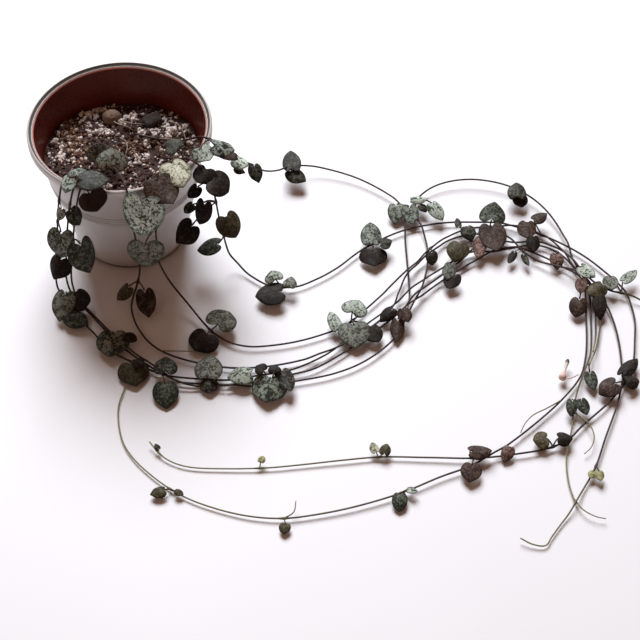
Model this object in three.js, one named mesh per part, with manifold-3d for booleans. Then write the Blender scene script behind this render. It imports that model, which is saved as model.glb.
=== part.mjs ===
// Potted string of hearts: a plastic nursery pot with potting mix, and the trailing
// stems that hang over its rim and lie in loops on the surface, with their paired leaves.
// Millimetres, +Z up. The origin is the centre of the pot's base, on that surface.
import * as THREE from 'three';
import { mergeVertices } from 'three/addons/utils/BufferGeometryUtils.js';
import Module from 'manifold-3d';

const wasm = await Module();
wasm.setup();

// ---- driving dimensions ----
const RIM_RADIUS = 50;
const POT_HEIGHT = 83;
const BASE_RADIUS = 31.6;
const WALL = 0.9;
const FLOOR_THICKNESS = 1.4;
const FLANGE_WIDTH = 3.4;
const SKIRT_DEPTH = 5;
const SKIRT_THICKNESS = 1.1;
const NECK_RADIUS = 47.2;
const FOOT_HEIGHT = 2.4;
const RIDGE_COUNT = 3;
const RIDGE_BOTTOM = 47;
const RIDGE_PITCH = 2.1;
const RIDGE_HEIGHT = 0.45;
const DRAIN_COUNT = 6;
const DRAIN_RADIUS = 3.5;
const DRAIN_CIRCLE = 21;
const POT_SIDES = 32;

const GAP = 0.3;
const SOIL_LEVEL = 63;
const SOIL_SLOPE = -0.11;
const TUBER_RADIUS = 5.6;
const TUBER_PLACE = [-8, 26, 62.5];
const BARK_SIZE = [12, 8, 5];
const BARK_PLACE = [15, 24, 62.5];

const STEM_RADIUS = 0.55;
const STEM_SIDES = 5;
const SAMPLE_STEP = 1.5;
const BEND_ERROR = 0.28;
const CROSSING_HEIGHT = 1.75;
const CROSSING_WIDTH = 1.7;
const CROSSING_SLOPE = 0.2;
const LYING_HEIGHT = 7;
const PETIOLE_RADIUS = 0.5;
const PETIOLE_SIDES = 4;
const PETIOLE_REACH = 0.2;
const NODE_SIDES = 6;
const NODE_RADIUS = 1.5;
const NODE_LENGTH = 2.2;
const LEAF_THICKNESS = 1.7;
const LEAF_SIDES = 10;
const LEAF_RINGS = 3;
const LEAF_RIM = Math.sin(Math.PI / 3);
const LEAF_CENTRE = 0.44;
const LEAF_CUP = 0.1;
const WELD = 1e-3;
const FACET_ERROR = 0.09;

// ---- materials ----
function material(colour, roughness) {
  return new THREE.MeshStandardMaterial({ color: colour, roughness, metalness: 0 });
}
const POT_PLASTIC = material(0xe6e4e6, 0.35);
const POTTING_MIX = material(0x3a241c, 0.95);
const TUBER_SKIN = material(0x7b5a44, 0.85);
const BARK = material(0x2a1a15, 0.9);
const STEM_SKIN = material(0x4a3838, 0.6);
const LEAF_SKIN = material(0x55604f, 0.5);
const FLOWER_SKIN = material(0xdcb9ad, 0.6);

// ---- solids ----
function solid(geometry) {
  const plain = new THREE.BufferGeometry();
  plain.setAttribute('position', geometry.getAttribute('position'));
  plain.setIndex(geometry.index);
  const welded = mergeVertices(plain, WELD);
  return new wasm.Manifold(new wasm.Mesh({
    numProp: 3,
    vertProperties: Float32Array.from(welded.getAttribute('position').array),
    triVerts: Uint32Array.from(welded.index.array),
  }));
}

function join(solids) {
  return solids.reduce((whole, piece) => whole.add(piece));
}

function largest(whole) {
  const bodies = whole.decompose();
  return bodies.reduce((best, body) => (body.volume() > best.volume() ? body : best));
}

function boxesMeet(first, second) {
  return [0, 1, 2].every((axis) => (
    first.min[axis] < second.max[axis] && second.min[axis] < first.max[axis]
  ));
}

function cutClear(whole, keepOuts) {
  let result = whole;
  for (const keepOut of keepOuts) {
    if (boxesMeet(result.boundingBox(), keepOut.boundingBox())) {
      result = result.subtract(keepOut);
    }
  }
  return result;
}

const plant = new THREE.Group();

function addMesh(name, body, skin) {
  const shape = body.simplify(FACET_ERROR).getMesh();
  const geometry = new THREE.BufferGeometry();
  geometry.setAttribute('position', new THREE.BufferAttribute(shape.vertProperties, 3));
  geometry.setIndex(new THREE.BufferAttribute(shape.triVerts, 1));
  const flat = geometry.toNonIndexed();
  flat.computeVertexNormals();
  const mesh = new THREE.Mesh(flat, skin);
  mesh.name = name;
  plant.add(mesh);
}

// ---- pot ----
function outerRadius(height) {
  const neckHeight = POT_HEIGHT - SKIRT_DEPTH;
  return BASE_RADIUS + (NECK_RADIUS - BASE_RADIUS) * Math.min(height / neckHeight, 1);
}

function innerRadius(height) {
  return outerRadius(height) - WALL;
}

function potProfile() {
  const outline = [
    [0, 0],
    [BASE_RADIUS - 1.6, 0],
    [BASE_RADIUS - 0.3, 0.9],
    [BASE_RADIUS, FOOT_HEIGHT],
    [outerRadius(25), 25],
  ];
  for (let ridge = 0; ridge < RIDGE_COUNT; ridge += 1) {
    const foot = RIDGE_BOTTOM + ridge * RIDGE_PITCH;
    const crest = foot + RIDGE_PITCH / 2;
    outline.push([outerRadius(foot), foot]);
    outline.push([outerRadius(crest) + RIDGE_HEIGHT, crest]);
  }
  const bandTop = RIDGE_BOTTOM + RIDGE_COUNT * RIDGE_PITCH;
  const skirtFoot = POT_HEIGHT - SKIRT_DEPTH;
  outline.push([outerRadius(bandTop), bandTop]);
  outline.push([NECK_RADIUS, POT_HEIGHT - WALL - 0.4]);
  outline.push([RIM_RADIUS - SKIRT_THICKNESS, POT_HEIGHT - WALL - 0.4]);
  outline.push([RIM_RADIUS - SKIRT_THICKNESS, skirtFoot]);
  outline.push([RIM_RADIUS, skirtFoot]);
  outline.push([RIM_RADIUS, POT_HEIGHT - 1.2]);
  outline.push([RIM_RADIUS - 0.9, POT_HEIGHT]);
  outline.push([RIM_RADIUS - FLANGE_WIDTH, POT_HEIGHT]);
  outline.push([innerRadius(POT_HEIGHT), POT_HEIGHT - 1.3]);
  outline.push([innerRadius(skirtFoot), skirtFoot]);
  outline.push([innerRadius(FLOOR_THICKNESS + 1), FLOOR_THICKNESS + 1]);
  outline.push([innerRadius(FLOOR_THICKNESS) - 1, FLOOR_THICKNESS]);
  outline.push([0, FLOOR_THICKNESS]);
  return outline.map(([radius, height]) => new THREE.Vector2(radius, height));
}

function uprightLathe(profile, sides) {
  const geometry = new THREE.LatheGeometry(profile, sides);
  geometry.rotateX(Math.PI / 2);
  return geometry;
}

function makePot() {
  let pot = solid(uprightLathe(potProfile(), POT_SIDES));
  for (let drain = 0; drain < DRAIN_COUNT; drain += 1) {
    const angle = (drain / DRAIN_COUNT) * 2 * Math.PI;
    const bore = new THREE.CylinderGeometry(DRAIN_RADIUS, DRAIN_RADIUS, 4, 12);
    bore.rotateX(Math.PI / 2);
    bore.translate(DRAIN_CIRCLE * Math.cos(angle), DRAIN_CIRCLE * Math.sin(angle), 0);
    pot = pot.subtract(solid(bore));
  }
  return pot;
}

// ---- potting mix, tuber and bark ----
function soilHeight(x, y) {
  const lumps = Math.sin(x * 0.31 + 1.2) * Math.cos(y * 0.27) + 0.6 * Math.sin((x - y) * 0.19);
  return SOIL_LEVEL + SOIL_SLOPE * y + lumps;
}

function makeSoil() {
  const bottom = FLOOR_THICKNESS + GAP;
  const rings = [42, 33, 23, 12, 0];
  const profile = [
    [0, bottom],
    [innerRadius(bottom) - 1.2, bottom],
    [innerRadius(bottom + 1) - GAP, bottom + 1],
  ].concat(rings.map((ring) => [ring, SOIL_LEVEL]));
  const shape = profile.map(([radius, height]) => new THREE.Vector2(radius, height));
  const geometry = uprightLathe(shape, POT_SIDES);
  const place = geometry.getAttribute('position');
  for (let index = 0; index < place.count; index += 1) {
    const x = place.getX(index);
    const y = place.getY(index);
    if (place.getZ(index) > SOIL_LEVEL - 1) {
      const height = soilHeight(x, y);
      const reach = Math.hypot(x, y);
      const scale = reach > rings[1] + 1 ? (innerRadius(height) - GAP - 0.15) / reach : 1;
      place.setXYZ(index, x * scale, y * scale, height);
    }
  }
  return solid(geometry);
}

function ball(radius, place, stretch, grow) {
  const geometry = new THREE.SphereGeometry(1, 10, 7);
  geometry.scale(...stretch.map((factor) => radius * factor + grow));
  geometry.translate(...place);
  return solid(geometry);
}

function barkChip(grow) {
  const geometry = new THREE.BoxGeometry(...BARK_SIZE.map((side) => side + 2 * grow));
  geometry.rotateX(0.2);
  geometry.rotateZ(0.5);
  geometry.translate(...BARK_PLACE);
  return solid(geometry);
}

// ---- stems ----
// Each route is the line of a stem's centre. Those that cross lie over one another.
function fineRoute(points) {
  const curve = new THREE.CatmullRomCurve3(points.map((point) => new THREE.Vector3(...point)));
  curve.arcLengthDivisions = points.length * 12;
  return curve.getSpacedPoints(Math.round(curve.getLength() / SAMPLE_STEP));
}

function layOver(samples, laid) {
  const lying = (sample) => sample.z < LYING_HEIGHT;
  const crossings = [];
  const beneath = laid.filter(lying);
  samples.forEach((sample, index) => {
    const crossed = beneath.filter((other) => (
      Math.hypot(sample.x - other.x, sample.y - other.y) < CROSSING_WIDTH
    ));
    if (lying(sample) && crossed.length > 0) {
      const top = Math.max(...crossed.map((other) => other.z));
      crossings.push([index, top + CROSSING_HEIGHT]);
    }
  });
  const raised = samples.map((sample, index) => Math.max(
    sample.z,
    ...crossings.map(([place, height]) => (
      height - Math.abs(place - index) * SAMPLE_STEP * CROSSING_SLOPE
    )),
  ));
  return samples.map((sample, index) => {
    const before = raised[Math.max(0, index - 1)];
    const after = raised[Math.min(samples.length - 1, index + 1)];
    const even = (before + 2 * raised[index] + after) / 4;
    return new THREE.Vector3(sample.x, sample.y, even);
  });
}

function thinOut(samples, first, last, kept) {
  const chord = new THREE.Line3(samples[first], samples[last]);
  const foot = new THREE.Vector3();
  let worst = 0;
  let split = -1;
  for (let index = first + 1; index < last; index += 1) {
    chord.closestPointToPoint(samples[index], true, foot);
    const error = foot.distanceTo(samples[index]);
    if (error > worst) {
      worst = error;
      split = index;
    }
  }
  if (worst > BEND_ERROR) {
    thinOut(samples, first, split, kept);
    thinOut(samples, split, last, kept);
  } else {
    kept.push(samples[last]);
  }
}

// A path that takes one step for each bend of the route.
class BendPath extends THREE.Curve {
  constructor(bends) {
    super();
    this.bends = bends;
  }

  getPoint(t, target = new THREE.Vector3()) {
    const place = t * (this.bends.length - 1);
    const index = Math.min(Math.floor(place + 1e-6), this.bends.length - 2);
    return target.lerpVectors(this.bends[index], this.bends[index + 1], place - index);
  }

  getPointAt(u, target) {
    return this.getPoint(u, target);
  }

  getTangentAt(u, target = new THREE.Vector3()) {
    const index = Math.round(u * (this.bends.length - 1));
    const behind = this.bends[Math.max(index - 1, 0)];
    const here = this.bends[index];
    const ahead = this.bends[Math.min(index + 1, this.bends.length - 1)];
    const into = here.clone().sub(behind).normalize();
    const out = ahead.clone().sub(here).normalize();
    return target.copy(into).add(out).normalize();
  }
}

function tube(samples, radius) {
  const bends = [samples[0]];
  thinOut(samples, 0, samples.length - 1, bends);
  const section = new THREE.Shape();
  for (let corner = 0; corner < STEM_SIDES; corner += 1) {
    const angle = (corner / STEM_SIDES) * 2 * Math.PI;
    const point = [radius * Math.cos(angle), radius * Math.sin(angle)];
    if (corner === 0) {
      section.moveTo(...point);
    } else {
      section.lineTo(...point);
    }
  }
  section.closePath();
  return solid(new THREE.ExtrudeGeometry(section, {
    steps: bends.length - 1,
    extrudePath: new BendPath(bends),
    bevelEnabled: false,
  }));
}

function nearestSample(samples, place) {
  const target = new THREE.Vector3(...place);
  let best = 0;
  samples.forEach((sample, index) => {
    if (sample.distanceTo(target) < samples[best].distanceTo(target)) {
      best = index;
    }
  });
  return best;
}

// ---- leaves ----
// A leaf is [base, tip, width, roll in degrees]: base is the notch where its petiole ends.
function leafOutline(angle) {
  const toTip = Math.max(Math.cos(angle), 0);
  const toNotch = Math.max(-Math.cos(angle), 0);
  return 1 + 0.16 * toTip ** 6 - 0.3 * toNotch ** 8;
}

function leafFrame(base, tip, roll) {
  const along = tip.clone().sub(base).normalize();
  const up = new THREE.Vector3(0, 0, 1);
  up.addScaledVector(along, -up.dot(along)).normalize();
  up.applyAxisAngle(along, THREE.MathUtils.degToRad(roll));
  const across = new THREE.Vector3().crossVectors(up, along);
  return new THREE.Matrix4().makeBasis(along, across, up).setPosition(base);
}

function blade([basePoint, tipPoint, width, roll = 0], grow) {
  const base = new THREE.Vector3(...basePoint);
  const tip = new THREE.Vector3(...tipPoint);
  const length = base.distanceTo(tip);
  const half = width / 2;
  const geometry = new THREE.SphereGeometry(1, LEAF_SIDES, LEAF_RINGS);
  geometry.rotateX(Math.PI / 2);
  const place = geometry.getAttribute('position');
  const thickness = Math.min(LEAF_THICKNESS, width * 0.16 + 0.5);
  for (let index = 0; index < place.count; index += 1) {
    const x = place.getX(index) / LEAF_RIM;
    const y = place.getY(index) / LEAF_RIM;
    const reach = Math.hypot(x, y);
    const rim = reach > 1e-6 ? leafOutline(Math.atan2(y, x)) : 0;
    const along = length * LEAF_CENTRE + x * rim * (length * (1 - LEAF_CENTRE) / 1.16 + grow);
    const across = y * rim * (half + grow);
    const sag = -LEAF_CUP * width * (across / half) ** 2;
    const height = sag + place.getZ(index) * (thickness / 2 + grow);
    place.setXYZ(index, along, across, height);
  }
  geometry.applyMatrix4(leafFrame(base, tip, roll));
  return solid(geometry);
}

function rod(start, end, radius, sides) {
  const line = end.clone().sub(start);
  const geometry = new THREE.CylinderGeometry(radius, radius, line.length(), sides);
  const turn = new THREE.Quaternion();
  turn.setFromUnitVectors(new THREE.Vector3(0, 1, 0), line.clone().normalize());
  geometry.applyQuaternion(turn);
  geometry.translate(...start.clone().add(end).multiplyScalar(0.5).toArray());
  return solid(geometry);
}

function petiole(root, leaf, grow) {
  const [base, tip, width] = leaf;
  const end = new THREE.Vector3(...base);
  const into = new THREE.Vector3(...tip).sub(end).normalize();
  end.addScaledVector(into, PETIOLE_REACH * width);
  return rod(root, end, PETIOLE_RADIUS + grow, PETIOLE_SIDES);
}

function leafSet(root, leaves, grow) {
  return join(leaves.flatMap((leaf) => [blade(leaf, grow), petiole(root, leaf, grow)]));
}

// ---- routes of the stems ----
const STEMS = {
  right_a: [
    [22, -8, 66], [32, -19, 76], [40, -28, 85.2], [47, -31, 80], [51, -31.5, 65], [53, -31.5, 44],
    [54.5, -30, 30], [55.5, -29, 19], [57.5, -29.5, 10], [62, -32, 5], [66, -36, 3], [70, -39.5, 2.5],
    [80, -46, 2.5], [94, -47, 2.5], [106, -41.5, 2.5], [118, -33, 2.5], [131, -20.5, 2.5],
    [147, -9.5, 2.5], [160, -3.5, 2.5], [180, 1, 2.5], [200, 1.5, 2.5], [212, 1, 2.5],
    [220, -1.5, 2.5], [235, -8, 2.5], [250, -17.5, 2.5], [260, -26, 2.5], [268, -35, 2.5],
    [275, -44, 2.5], [279, -51, 2.5], [281, -62, 2.5], [281.5, -72, 2.5], [280, -84, 2.5],
    [278, -97, 2.5], [275, -107, 2.5], [271, -114, 2.5], [261, -126.5, 2.5], [246, -141, 2.5],
    [238, -149.5, 2.5], [228, -155, 2.5], [210, -159, 2.5], [190, -161.5, 2.5], [165, -161, 2.2],
    [140, -160.5, 2], [120, -162.5, 2], [100, -165, 1.8], [82, -167, 1.8], [60, -167.5, 1.6],
    [40, -166.3, 1.6], [30, -162.5, 1.8], [24, -157.5, 2.5], [19.5, -152, 3.5],
  ],
  right_b: [
    [6, 10, 66], [20, 3, 69], [34, -6, 77], [46, -11.5, 85.2], [55, -15, 83], [62, -14, 75],
    [68, -8, 62], [73, 3, 46], [78, 16, 30], [84, 29, 17], [92, 40, 9], [102, 42.5, 6.5],
    [112, 41.5, 5], [130, 35, 4], [147, 23.5, 3.5], [154, 16, 3.5], [157, 6, 3], [157, -12, 2.5],
    [157.5, -27, 2.5], [158, -42, 2.5], [158, -54, 2.5], [156.5, -63, 2.5], [153, -71, 2.5],
  ],
  left_a: [
    [-16, -24, 67], [-20, -32, 79], [-24, -40, 85], [-26, -43.5, 84.9], [-29, -47, 74], [-32, -49, 55],
    [-35, -50, 35], [-37.5, -50.5, 17], [-37, -53, 8], [-33, -57, 3.5], [-28, -65, 2.5],
    [-22, -72.5, 2.5], [-15, -80.5, 2.5], [-10, -87, 2.5], [-4, -93, 2.5], [4, -98, 2.5],
    [16, -104.5, 2.5], [26, -108.5, 2.5], [40, -110.5, 2.5], [60, -111.5, 2.5], [75, -108.5, 2.5],
    [92, -105, 2.5], [110, -95.5, 2.5], [119, -88, 2.5], [135, -72.5, 2.5], [150, -59, 2.5],
    [165, -43, 2.5], [180, -31, 2.5], [190, -23, 2.5], [198, -20.5, 2.5], [206, -21, 2.5],
    [215, -19, 2.5], [229, -16, 2.5], [238, -18, 2.5], [246, -24, 2.5], [252, -34, 2.5],
    [256, -46, 2.5], [256, -56, 2.5], [255, -68, 2.5], [254, -82, 2.5], [252, -96, 2.5],
    [248, -109, 2.5], [237, -124, 2.5], [220, -141, 2.5], [203, -155.5, 2.5], [190, -164.5, 2.5],
    [170, -173, 2.5], [150, -182.5, 2.4], [125, -191, 2.2], [104, -195.7, 2], [90, -197.5, 2],
    [75, -196.5, 1.8], [60, -193, 1.6], [42, -186, 1.6], [30, -178.5, 1.6], [20, -170, 1.5],
    [12, -161.5, 1.5], [6, -152, 1.4], [2.5, -140, 1.4], [1.5, -128, 1.4], [4, -115, 1.4],
  ],
  left_b: [
    [-10, -26, 67], [-15, -36, 79], [-18, -43.2, 85], [-19.6, -46.6, 84.9], [-23, -50, 74], [-27, -52, 52],
    [-30, -52.5, 30], [-31.5, -52.5, 15], [-29, -56, 6], [-24, -61, 3], [-19, -66, 2.5],
    [-13, -73.5, 2.5], [-7, -80.5, 2.5], [0, -88.5, 2.5], [7, -95, 2.5], [14, -101.5, 2.5],
    [22, -107.5, 2.5], [32, -112.5, 2.5], [45, -114, 2.5], [60, -114.5, 2.5], [75, -112.5, 2.5],
    [94, -107.5, 2.5], [105, -104, 2.5], [123, -91.5, 2.5], [140, -77, 2.5], [160, -58, 2.5],
    [175, -44, 2.5], [190, -32, 2.5], [203, -23.5, 2.5], [212, -20, 2.5], [222, -19, 2.5],
    [232, -23, 2.5], [245, -32, 2.5], [254, -41, 2.5], [258, -53, 2.5], [257.5, -68, 2.5],
    [256.5, -82, 2.5], [254.5, -95, 2.5], [250, -107, 2.5], [246, -117, 2.5], [243, -127, 2.5],
    [240, -143, 2.2], [235.5, -162, 2], [235.5, -177, 1.8], [238, -189, 1.6],
  ],
  left_c: [
    [-5, -27, 67], [-11, -37, 79], [-14.7, -44.6, 85], [-16.2, -48, 84.9], [-19.5, -52, 74], [-23.5, -54.5, 52],
    [-27, -55, 30], [-28, -56, 15], [-25, -60, 6], [-21, -63.5, 3], [-14, -71.5, 2.5],
    [-8, -78.5, 2.5], [-1, -86, 2.5], [6, -93, 2.5], [13, -99.5, 2.5], [21, -106, 2.5],
    [31, -113.5, 2.5], [45, -116, 2.5], [62, -116, 2.5], [80, -115, 2.5], [95, -112.3, 2.5],
    [115, -107.5, 2.5], [130, -100.5, 2.5], [143, -90, 2.5], [151, -80, 2.5], [156, -69, 2.5],
    [162, -56, 2.5], [165.5, -47, 2.5], [168.5, -34, 2.5], [169.5, -20, 2.5], [167.5, -6, 2.5],
    [163.5, 8, 2.5], [165, 18.5, 3], [172, 26, 4], [182, 31, 4.5], [196, 33, 5], [210, 31, 5],
    [221, 26.5, 5], [231, 19.5, 4.5], [239, 10, 4], [245, -1, 3], [249, -13, 2.5], [251.5, -27, 2.5],
    [254.5, -38, 2.5], [261, -49, 2.5], [266, -57, 2.5], [269.5, -70, 2.5], [271, -84, 2.5],
    [271, -98, 2.5], [270, -112, 2.5], [265, -129, 2.5], [257, -149, 2.5], [250, -167, 2.2],
    [242, -181, 2], [235, -193, 1.8], [229, -201, 1.6], [224, -208, 1.6], [220.5, -213, 1.6],
    [214, -212.5, 2], [208, -209.5, 3],
  ],
  front_a: [
    [-4, -15, 67], [1.5, -31, 77], [7, -47, 85.2], [8.5, -51.5, 77], [9, -52, 58], [9.5, -51.5, 38],
    [9, -50.5, 20], [6.5, -53.5, 10], [4.5, -58, 6], [4, -63, 4], [6, -71, 3], [10, -79, 2.5],
    [15, -86, 2.5], [22, -92, 2.5], [30, -96, 2.5], [40, -99.5, 2.5], [50, -102, 2.5],
    [62, -103.5, 2.5], [76, -103, 2.5], [90, -100.5, 2.5], [105, -96, 2.5], [117, -91, 2.5],
    [129, -82, 2.5], [141, -71, 2.5], [149, -61.5, 2.5], [152, -52, 2.5], [156, -41, 2.5],
    [163, -31, 2.5], [172, -21.5, 2.5], [181, -13, 2.5], [192, -8.5, 2.5], [203, -8, 2.5],
    [214, -13, 2.5], [226, -14.5, 2.5], [237, -15, 2.5], [245, -20, 2.5], [251, -29, 2.5],
    [256, -39, 2.5], [263, -46.5, 2.5], [272, -50.5, 2.5], [286, -56.5, 2.5], [294, -62, 2.2],
    [299, -70, 2], [300, -79, 2],
  ],
  front_b: [
    [14, -22, 66], [16, -35, 77], [17.5, -45.5, 85.2], [19.5, -50, 78], [20.5, -50.5, 60],
    [20, -49.5, 40], [20, -48, 25], [25, -52, 14], [35, -61.5, 6], [44, -73, 3.5], [50, -80, 3],
    [60, -86.5, 2.5], [70, -89, 2.5], [80, -88.5, 2.5], [95, -85.7, 2.5], [110, -80.5, 2.5],
    [122, -74.5, 2.5], [133, -63.5, 2.5], [147, -48, 2.5], [159, -35.5, 2.5], [169, -23.5, 2.5],
    [180, -11, 2.5], [190, -5, 2.5], [200, -2.5, 2.5], [222, -3, 2.5], [232, -7.5, 2.5],
    [240, -13, 2.5], [246, -23, 2.5], [252, -36, 2.5], [258, -46.5, 2.5], [262.5, -56, 2.5],
    [263, -68, 2.5], [260.5, -82, 2.5], [257, -94, 2.5], [252.5, -104, 2.5],
  ],
  branch: [
    [154, -66, 4], [160, -57, 2.5], [170, -46, 2.5], [182, -33, 2.5], [190, -26, 2.5],
    [198, -17, 2.5], [206, -9, 2.5], [212, -8.5, 2.5], [217, -13, 2.5], [222, -21.5, 2.5],
    [230, -27.5, 2.5], [242, -34, 2.5], [252, -39.5, 2.5], [259, -49, 2.5], [260.5, -58, 2.5],
    [260, -70, 2.5], [258.5, -83, 2.5], [255.5, -96, 2.5],
  ],
};

// Thin side shoots, each joined to the stem that it grew from: [radius, route].
const SHOOTS = {
  left_a: [
    [0.4, [[236, -125, 2.6], [228, -131, 4], [220, -136, 4.5], [215.5, -141, 4], [213, -146, 3]]],
    [0.4, [[90, -197.5, 2], [95, -195, 4], [96, -189, 5]]],
  ],
  left_b: [
    [0.4, [[242.5, -133, 2.6], [249, -141, 4], [251, -149, 4], [249, -155, 3], [245, -159, 2.5]]],
    [0.4, [[236.8, -185, 1.8], [241, -193, 3], [247, -197, 3], [252, -198, 2.5]]],
  ],
  front_a: [
    [0.4, [[22, -92, 2.6], [30, -94, 5], [38, -94.5, 5.5], [46, -96, 5]]],
  ],
};

// Small leaves that are joined to their stem: [place on the stem, leaves].
const JOINED = {
  left_a: [
    [[-27, -46, 74], [[[-27.5, -50, 72], [-29.5, -53, 65], 6]]],
    [[243, -21.5, 2.5], [[[242, -25, 7], [242, -35, 4], 8]]],
    [[150, -182.5, 2.4], [[[149, -183, 4.5], [148, -194, 3], 8], [[152, -181.5, 4], [158, -183, 4.5], 4]]],
    [[90, -197.5, 2], [[[91, -200.5, 3], [90, -207, 3], 6]]],
    [[32, -180, 1.6], [[[30, -181.5, 4], [22, -184, 3.5], 7], [[34, -182, 3.5], [39, -184, 3], 4]]],
  ],
  left_b: [
    [[-23, -50, 74], [[[-23, -51.5, 73], [-18, -55.5, 64], 10]]],
  ],
  left_c: [
    [[250, -167, 2.2], [[[249, -170, 4], [246, -174.5, 4], 4.5], [[251, -170, 4.5], [251.5, -176.5, 4], 5]]],
  ],
  front_b: [
    [[170, -22, 2.5], [[[171.5, -23, 6.5], [171.5, -32, 3.5], 7]]],
    [[191, -5, 2.5], [[[192, -4.5, 7], [195, -14, 4.5], 9], [[188, -6, 6], [187, 1, 7], 4]]],
    [[253, -103.5, 2.5], [[[252.5, -107, 5], [254, -119, 3], 7]]],
  ],
  front_a: [
    [[229, -14.5, 2.5], [[[229.5, -13, 8], [229.5, -23.5, 5], 8]]],
  ],
  right_a: [
    [[236, -8.5, 2.5], [[[230, -1.5, 7], [239, 2.5, 8.5], 8]]],
    [[206, -159.5, 2.5], [[[207, -155, 5], [203, -164, 3.5], 7]]],
    [[139, -160.5, 2], [[[141, -161, 4.5], [143, -154, 5.5], 6], [[137.5, -159.5, 4], [135, -153.5, 5], 5]]],
    [[77, -167.2, 1.8], [[[77.5, -165.5, 4], [79, -161.5, 5], 4]]],
    [[24.5, -158, 2.4], [[[25, -157, 3.5], [22.5, -154, 4.5], 3]]],
  ],
  branch: [
    [[222, -21.5, 2.5], [[[219, -23, 5.5], [214.5, -31.5, 4], 4.5], [[223, -25, 6], [226, -33, 4], 4]]],
  ],
};

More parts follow.
